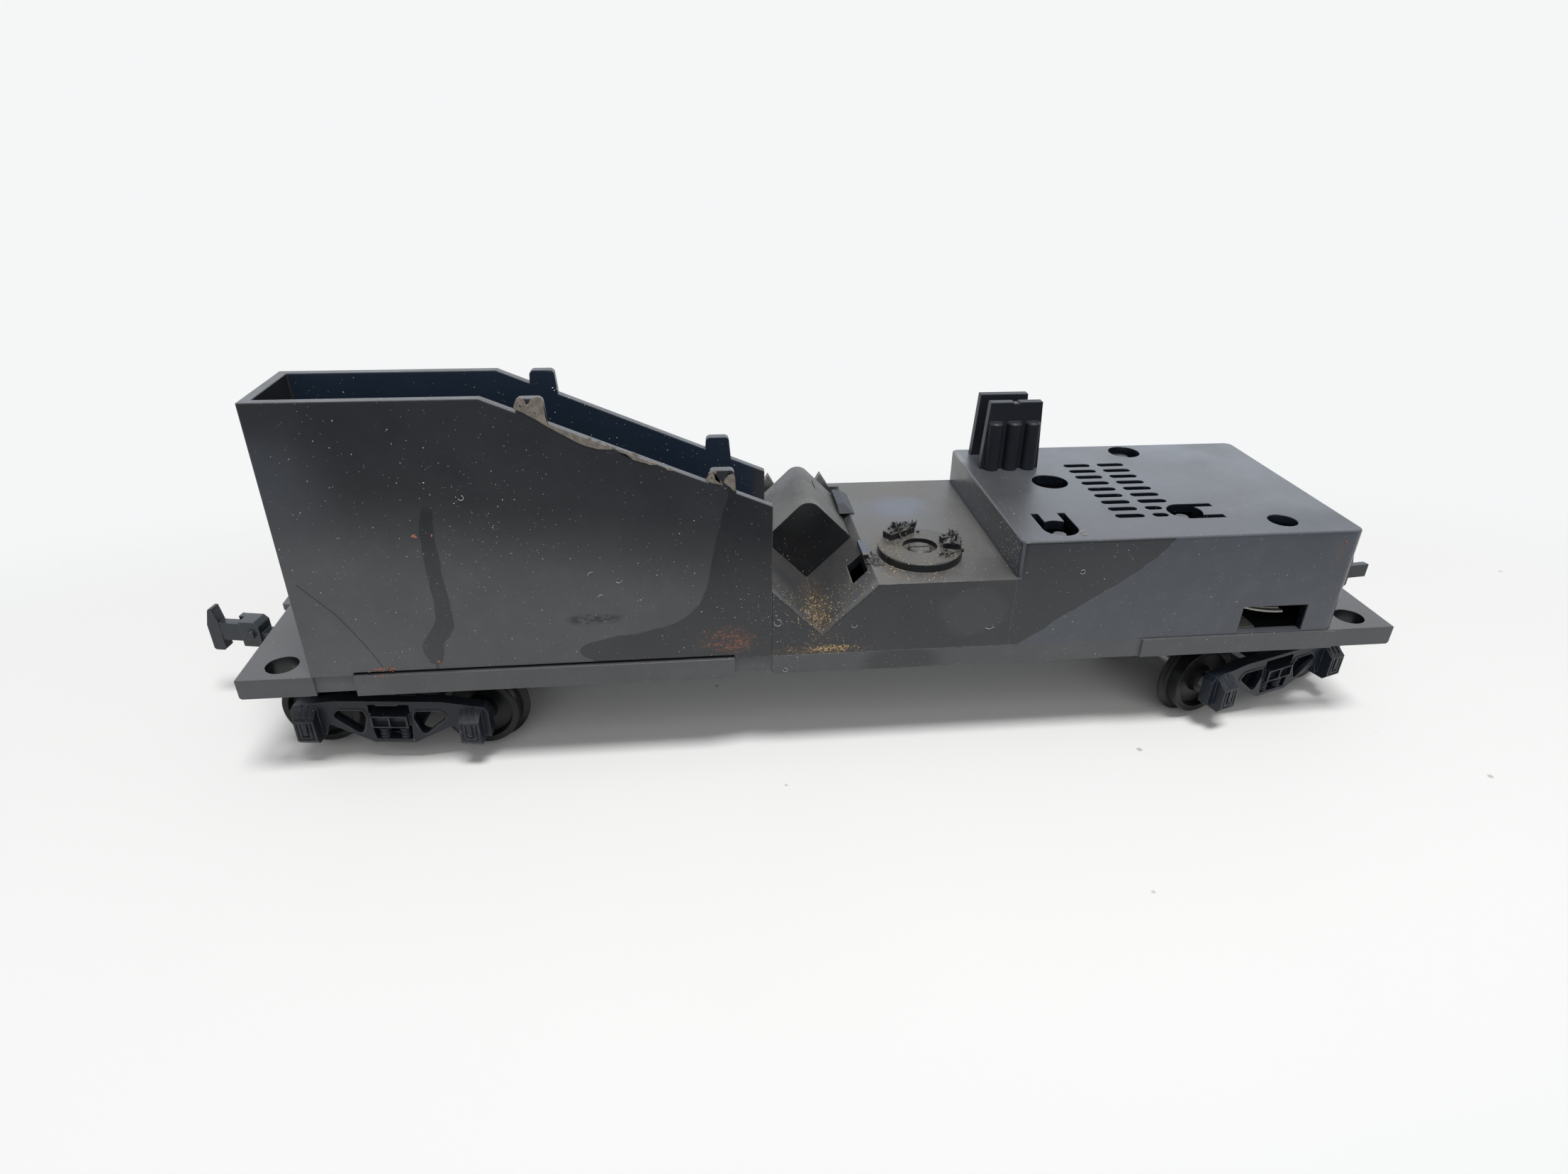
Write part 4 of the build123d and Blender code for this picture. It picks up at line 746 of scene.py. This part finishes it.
# The dried residue on the bin's near wall: outlines in mm from the wall's lower left corner.
GLUE = (
    ((27.0, 31.8), (27.7, 31.5), (28.5, 31.0), (29.3, 30.5), (29.8, 30.1), (30.4, 29.7), (31.2, 29.2),
     (32.2, 28.6), (33.15, 28.0), (34.1, 27.55), (35.3, 27.2), (36.6, 27.1), (36.9, 27.2), (35.1, 28.05),
     (33.6, 28.65), (32.2, 29.2), (31.1, 29.7), (30.25, 30.15), (30.1, 30.9), (30.1, 32.5),
     (29.95, 32.95), (29.6, 33.05), (28.9, 32.9), (28.6, 32.3), (28.3, 32.2), (28.2, 32.7), (27.8, 33.0),
     (27.45, 32.9), (27.15, 32.3)),
    ((37.2, 26.95), (38.1, 26.6), (38.8, 25.95), (39.7, 25.6), (40.3, 25.45), (40.7, 25.25),
     (41.35, 25.25), (41.5, 25.35), (40.0, 25.95), (38.85, 26.45)),
    ((42.2, 24.95), (42.5, 24.6), (43.1, 24.5), (43.3, 24.6), (42.7, 24.9)),
    ((46.55, 23.35), (47.4, 22.9), (48.5, 22.7), (48.3, 23.2), (47.75, 23.25), (47.7, 23.9),
     (47.85, 24.3), (47.45, 24.45), (47.0, 24.25), (46.8, 23.75)),
    ((48.6, 23.0), (49.0, 22.6), (49.3, 22.4), (49.6, 22.0), (49.9, 21.9), (49.9, 22.4), (49.85, 23.6),
     (49.7, 24.0), (49.15, 23.85), (48.7, 23.4)),
)
glue = Dirt("glue_residue", 14)
for outline in GLUE:
    glue.patch(outline)
EDGE_RUN = (34.2, 37.0, 39.4)  # crumbs on the rim, between these places along it
for start, stop in zip(EDGE_RUN, EDGE_RUN[1:]):
    for _ in range(16):
        share = glue.draw.random()
        spot = (bin_low[0] + start + share * (stop - start), NEAR + glue.draw.uniform(0.1, 0.5), ABOVE)
        glue.scatter(1, about(*spot), "down", (0.12, 0.4), 0.5)
glue.scatter(9, about((bin_low[0] + 39.1, 0.25), (NEAR + 0.3, 0.1), ABOVE), "down", (0.15, 0.4), 1.1)

lint = Dirt("lint", 15)


def fibre(start, way, length, radius=0.03, bend=0.9, lift=0.05, steps=6):
    """A curled fibre that lies on what a ray from its start meets."""
    angle, points, body = lint.draw.uniform(0, 2 * math.pi), [], None
    place = Vector(start)
    across = Vector((0, 0, 1)) if way == "in" else Vector((0, 1, 0))
    curl = lint.draw.uniform(-bend, bend)
    for _ in range(steps + 1):
        found = seat(place, way)
        if not found or (points and (found[1] - points[-1]).length > length / 2):
            break
        body = found[0]
        points.append(found[1] + found[2] * (radius + lift))
        place = place + (Vector((1, 0, 0)) * math.cos(angle) + across * math.sin(angle)) * length / steps
        angle += curl
    if len(points) > 2:
        lint.strand(body, points, radius)


for spot, way, length in (
    ((TROUGH_X - 5.6, BEFORE, BASE + 5.2), "in", 2.4), ((TROUGH_X + 4.2, BEFORE, BASE + 4.0), "in", 1.2),
    ((TROUGH_X - 4.6, BEFORE, BASE - 1.8), "in", 1.5),
    ((house_low[0] - 3.3, BEFORE, BASE + 2.8), "in", 1.2),
    ((house_low[0] + 7.7, BEFORE, BASE + 10.0), "in", 1.6),
    ((bin_low[0] + 32.9, BEFORE, BASE + 12.0), "in", 0.9),
    ((bin_low[0] + 36.7, BEFORE, BASE + 11.4), "in", 0.9),
    ((bin_low[0] + 33.9, BEFORE, BASE + 9.2), "in", 0.8),
    ((bin_low[0] + 20.0, BEFORE, BASE + 22.0), "in", 1.2),
    ((bin_low[0] + 35.0, -9.0, BASE + 24.0), "in", 1.5),
    ((bin_low[0] + 42.0, -9.0, BASE + 20.0), "in", 1.7),
    ((bin_low[0] + 27.0, -9.0, BASE + 27.0), "in", 1.3), ((DISC_X - 3.0, NEAR + 3.0, ABOVE), "down", 1.8),
    ((DISC_X + 4.5, NEAR + 6.0, ABOVE), "down", 1.4), ((TROUGH_X - 1.5, NEAR + 3.0, ABOVE), "down", 1.8),
    ((DISC_X - 4.0, DISC_Y + 3.5, ABOVE), "down", 1.6), ((DISC_X + 3.0, DISC_Y - 1.0, ABOVE), "down", 1.1),
    ((house_low[0] + 8.5, NEAR + 2.5, ABOVE), "down", 2.2),
    ((bin_low[0] + 15.6, NEAR + 10.0, ABOVE), "down", 1.8), ((68.0, 3.0, ABOVE), "down", 1.6),
):
    fibre(spot, way, length)
hair = Dirt("dark_hair", 16)
trail = ((1.1, 12.3), (2.5, 10.6), (4.4, 8.4), (5.6, 6.4), (6.5, 4.8), (7.6, 2.6), (8.3, 0.9))
hair.strand("car_body", [(bin_low[0] + x, NEAR - 0.02, BASE + z) for x, z in trail], 0.026)

# Torn plastic: spiky shreds on the disc's stumps and at the near clip, and flat flaps by that clip.
shreds = Dirt("torn_shreds", 17)


def shred(x, y, height, width, lean=0.5):
    """A thin ragged spike that stands on what lies below a place in mm."""
    found = seat((x, y, ABOVE), "down")
    if not found:
        return
    body, place, _ = found
    mesh = shreds.meshes.setdefault(body, bmesh.new())
    draw = shreds.draw
    angle = draw.uniform(0, math.pi)
    side = Vector((math.cos(angle), math.sin(angle), 0))
    thick = Vector((-side.y, side.x, 0)) * 0.09
    top = Vector((draw.uniform(-lean, lean), draw.uniform(-lean, lean), height))
    levels = ((0.0, 1.0), (0.35, draw.uniform(0.6, 1.1)), (0.7, draw.uniform(0.3, 0.8)), (1.0, 0.12))
    rings = []
    corners = 4
    for share, wide in levels:
        middle = place + top * share + Vector((0, 0, -0.12 * (1 - share))) + side * draw.uniform(-0.08, 0.08)
        reach = side * width / 2 * wide
        rings.append([mesh.verts.new(p * MM) for p in (middle - reach - thick, middle + reach - thick,
                                                       middle + reach + thick, middle - reach + thick)])
    for low, high in zip(rings, rings[1:]):
        for index in range(corners):
            after = (index + 1) % corners
            mesh.faces.new((low[index], low[after], high[after], high[index]))
    mesh.faces.new(rings[0][::-1])
    mesh.faces.new(rings[-1])


def ring_spot(angle, reach):
    """A place on the disc: an angle in degrees from +X and a distance from its middle."""
    turn = math.radians(angle)
    return DISC_X + reach * math.cos(turn), DISC_Y + reach * math.sin(turn)


SHRED_LIMIT = 5.2  # shreds stay this near the disc's middle
for angle, reach, spread, count, heights in (
    (122, 4.2, (15, 0.7), 46, (0.25, 0.85)), (-16, 4.4, (4, 0.5), 16, (0.2, 0.6)),
    (14, 4.4, (4, 0.6), 16, (0.2, 0.7)), (-40, 4.2, (10, 0.4), 16, (0.15, 0.4)),
    (0, 3.4, (8, 0.4), 12, (0.15, 0.45)),
):
    for _ in range(count):
        x, y = ring_spot(angle + shreds.draw.gauss(0, 1) * spread[0],
                         min(reach + shreds.draw.gauss(0, 1) * spread[1], SHRED_LIMIT))
        shred(x, y, shreds.draw.uniform(*heights), shreds.draw.uniform(0.25, 0.7))
for _ in range(14):
    shred(LUG_X + 1.0 + shreds.draw.gauss(0, 0.45), LUG_Y - 3.0 + shreds.draw.gauss(0, 0.5),
          shreds.draw.uniform(0.2, 0.5), shreds.draw.uniform(0.3, 0.8))

flaps = Dirt("torn_flaps", 18)
flaps.scatter(3, about((LUG_X + 1.15, 0.3), (LUG_Y - 1.8, 0.3), ABOVE), "down", (1.0, 1.5), 0.14, (1.0, 1.5))
flaps.scatter(16, about((LUG_X + 1.0, 0.4), (LUG_Y - 3.3, 0.6), ABOVE), "down", (0.4, 1.0), 0.35, (1.0, 2.4))
flaps.scatter(6, about((LUG_X + 1.7, 0.3), (LUG_Y - 4.3, 0.2), ABOVE), "down", (0.4, 0.9), 0.3, (1.2, 2.4))

pits = Dirt("residue_pits", 19)
for x, z, size in ((27.74, 32.09, 0.34), (29.14, 31.31, 0.3), (47.28, 23.62, 0.34)):
    pits.chip("car_body", Vector((bin_low[0] + x, NEAR - 0.06, BASE + z)), Vector((0, -1, 0)), size, 0.02)

gold.build(debris("gold_grit", (0.62, 0.46, 0.24), (0.28, 0.19, 0.09)))
pale.build(debris("pale_grit", (0.62, 0.60, 0.54), (0.26, 0.24, 0.21)))
rust.build(debris("rust_grit", (0.38, 0.16, 0.10), (0.12, 0.05, 0.035)))
glue.build(debris("dried_glue", (0.23, 0.20, 0.168), (0.14, 0.125, 0.108), 0.5))
lint.build(debris("lint_fibre", (0.55, 0.55, 0.55), (0.34, 0.33, 0.31)))
hair.build(debris("hair_fibre", (0.03, 0.03, 0.035), (0.015, 0.015, 0.018)))
shreds.build(block_black)
torn = debris("torn_plastic", (0.05, 0.052, 0.056), (0.02, 0.021, 0.024), 0.5)
flaps.build(torn)
pits.build(torn)


# ---- Floor, light and camera ----
SOFT_STRENGTH, SEEN_STRENGTH = 0.24, 0.93  # the world's, for soft light, and for the camera and gloss
CAMERA_PLACE = Vector((-19.30, -110.82, 76.75)) * MM
CAMERA_TURN = Vector((0.496900, -0.108042, -0.013733))  # axis times angle, from a camera that looks along +Y
FLAG_LINE = ((-150, -109), (-53, -85), (-14, -69), (10, -76), (150, -84))  # x, y in mm
FLAG_HEIGHTS = (0.2, 48.0)


def floor():
    """A pale sheet that fades into the white background far from the object."""
    mesh = bpy.data.meshes.new("floor")
    sides, reach = 96, 0.45
    turns = [2 * math.pi * index / sides for index in range(sides)]
    rim = [(reach * math.cos(turn), reach * math.sin(turn), 0) for turn in turns]
    mesh.from_pydata(rim, [], [tuple(range(sides))])
    piece = bpy.data.objects.new("floor", mesh)
    bpy.context.scene.collection.objects.link(piece)
    s = Shader("floor_paper")
    shade = s.mix(s.noise(0.02, 3.0), (0.92, 0.92, 0.91, 1.0), (0.95, 0.95, 0.94, 1.0))
    specks = s.math("MULTIPLY", s.specks(0.11, 0.05, 0.35), 0.5)
    shade = s.mix(specks, shade, (0.25, 0.22, 0.2, 1.0))
    paper = s.finish(shade, 0.85)
    surface = next(n for n in s.tree.nodes if n.type == "BSDF_PRINCIPLED").outputs[0]
    fade = s.rise(s.vector("LENGTH", s.vector("MULTIPLY", s.position, (0.6, 1.3, 0.0))), 55.0, 125.0)
    clear = s.add("ShaderNodeBsdfTransparent")
    mixed = s.add("ShaderNodeMixShader", {0: fade, 1: surface, 2: clear.outputs[0]})
    output = next(n for n in s.tree.nodes if n.type == "OUTPUT_MATERIAL")
    s.tree.links.new(mixed.outputs[0], output.inputs["Surface"])
    mesh.materials.append(paper)


def world():
    """Near white to the camera and in gloss, dim for soft light, and slightly blue."""
    made = bpy.data.worlds.new("studio")
    bpy.context.scene.world = made
    made.use_nodes = True
    tree = made.node_tree
    tree.nodes.clear()
    path = tree.nodes.new("ShaderNodeLightPath")
    seen = tree.nodes.new("ShaderNodeMath")
    seen.operation = "MAXIMUM"
    tree.links.new(path.outputs["Is Camera Ray"], seen.inputs[0])
    shiny = tree.nodes.new("ShaderNodeMath")
    shiny.operation = "MAXIMUM"
    tree.links.new(path.outputs["Is Glossy Ray"], shiny.inputs[0])
    tree.links.new(path.outputs["Is Transmission Ray"], shiny.inputs[1])
    tree.links.new(shiny.outputs[0], seen.inputs[1])
    strength = tree.nodes.new("ShaderNodeMapRange")
    strength.inputs[3].default_value = SOFT_STRENGTH
    strength.inputs[4].default_value = SEEN_STRENGTH
    tree.links.new(seen.outputs[0], strength.inputs[0])
    background = tree.nodes.new("ShaderNodeBackground")
    background.inputs[0].default_value = (0.985, 0.995, 1.0, 1.0)
    tree.links.new(strength.outputs[0], background.inputs[1])
    output = tree.nodes.new("ShaderNodeOutputWorld")
    tree.links.new(background.outputs[0], output.inputs[0])


def lamp(name, place, target, size, energy, color=(1.0, 1.0, 1.0), sheen_only=False):
    """A rectangular area lamp. One that is for sheen only lights nothing softly."""
    data = bpy.data.lights.new(name, "AREA")
    data.shape = "RECTANGLE"
    data.size, data.size_y = size
    data.energy = energy
    data.color = color
    piece = bpy.data.objects.new(name, data)
    bpy.context.scene.collection.objects.link(piece)
    piece.location = place
    piece.rotation_euler = (Vector(target) - Vector(place)).to_track_quat("-Z", "Y").to_euler()
    piece.visible_diffuse = not sheen_only


def flag():
    """A dark card in front of the object, as where a photographer stands. Only gloss sees it."""
    mesh = bpy.data.meshes.new("flag")
    corners = [(x * MM, y * MM, z * MM) for z in FLAG_HEIGHTS for x, y in FLAG_LINE]
    count = len(FLAG_LINE)
    mesh.from_pydata(corners, [], [(i, i + 1, i + 1 + count, i + count) for i in range(count - 1)])
    piece = bpy.data.objects.new("flag", mesh)
    bpy.context.scene.collection.objects.link(piece)
    s = Shader("flag_cloth")
    bluish = (0.8, 1.0, 1.35)
    mesh.materials.append(s.finish(s.mix(s.noise(0.05), rgba(0.16, bluish), rgba(0.2, bluish)), 0.9))
    piece.visible_camera = piece.visible_diffuse = piece.visible_shadow = False


def camera():
    """The view's place, turn and lens, solved once from the object's straight edges."""
    data = bpy.data.cameras.new("camera")
    data.sensor_width = 36.0
    data.lens = 21.108
    data.clip_start = 0.005
    data.clip_end = 20.0
    piece = bpy.data.objects.new("camera", data)
    bpy.context.scene.collection.objects.link(piece)
    base = Matrix(((1, 0, 0), (0, 0, -1), (0, 1, 0)))
    rows = Matrix.Rotation(CAMERA_TURN.length, 3, CAMERA_TURN.normalized()) @ base
    right, down, ahead = rows[0], rows[1], rows[2]
    placed = Matrix((right, -down, -ahead)).transposed().to_4x4()
    placed.translation = CAMERA_PLACE
    piece.matrix_world = placed
    bpy.context.scene.camera = piece


floor()
world()
lamp("key_soft", (0.03, -0.21, 0.66), (0, 0, 0), (0.26, 0.14), 3.35)
lamp("front_fill", (0.0, -0.6, 0.45), (0, 0, 0.02), (0.9, 0.6), 1.3, (1.0, 0.995, 0.985))
lamp("back_sheen", (0.0, 0.8, 0.27), (0, 0, 0.02), (2.0, 0.25), 1.6, (0.76, 0.92, 1.16), sheen_only=True)
flag()
camera()
bpy.context.scene.view_settings.view_transform = "Standard"
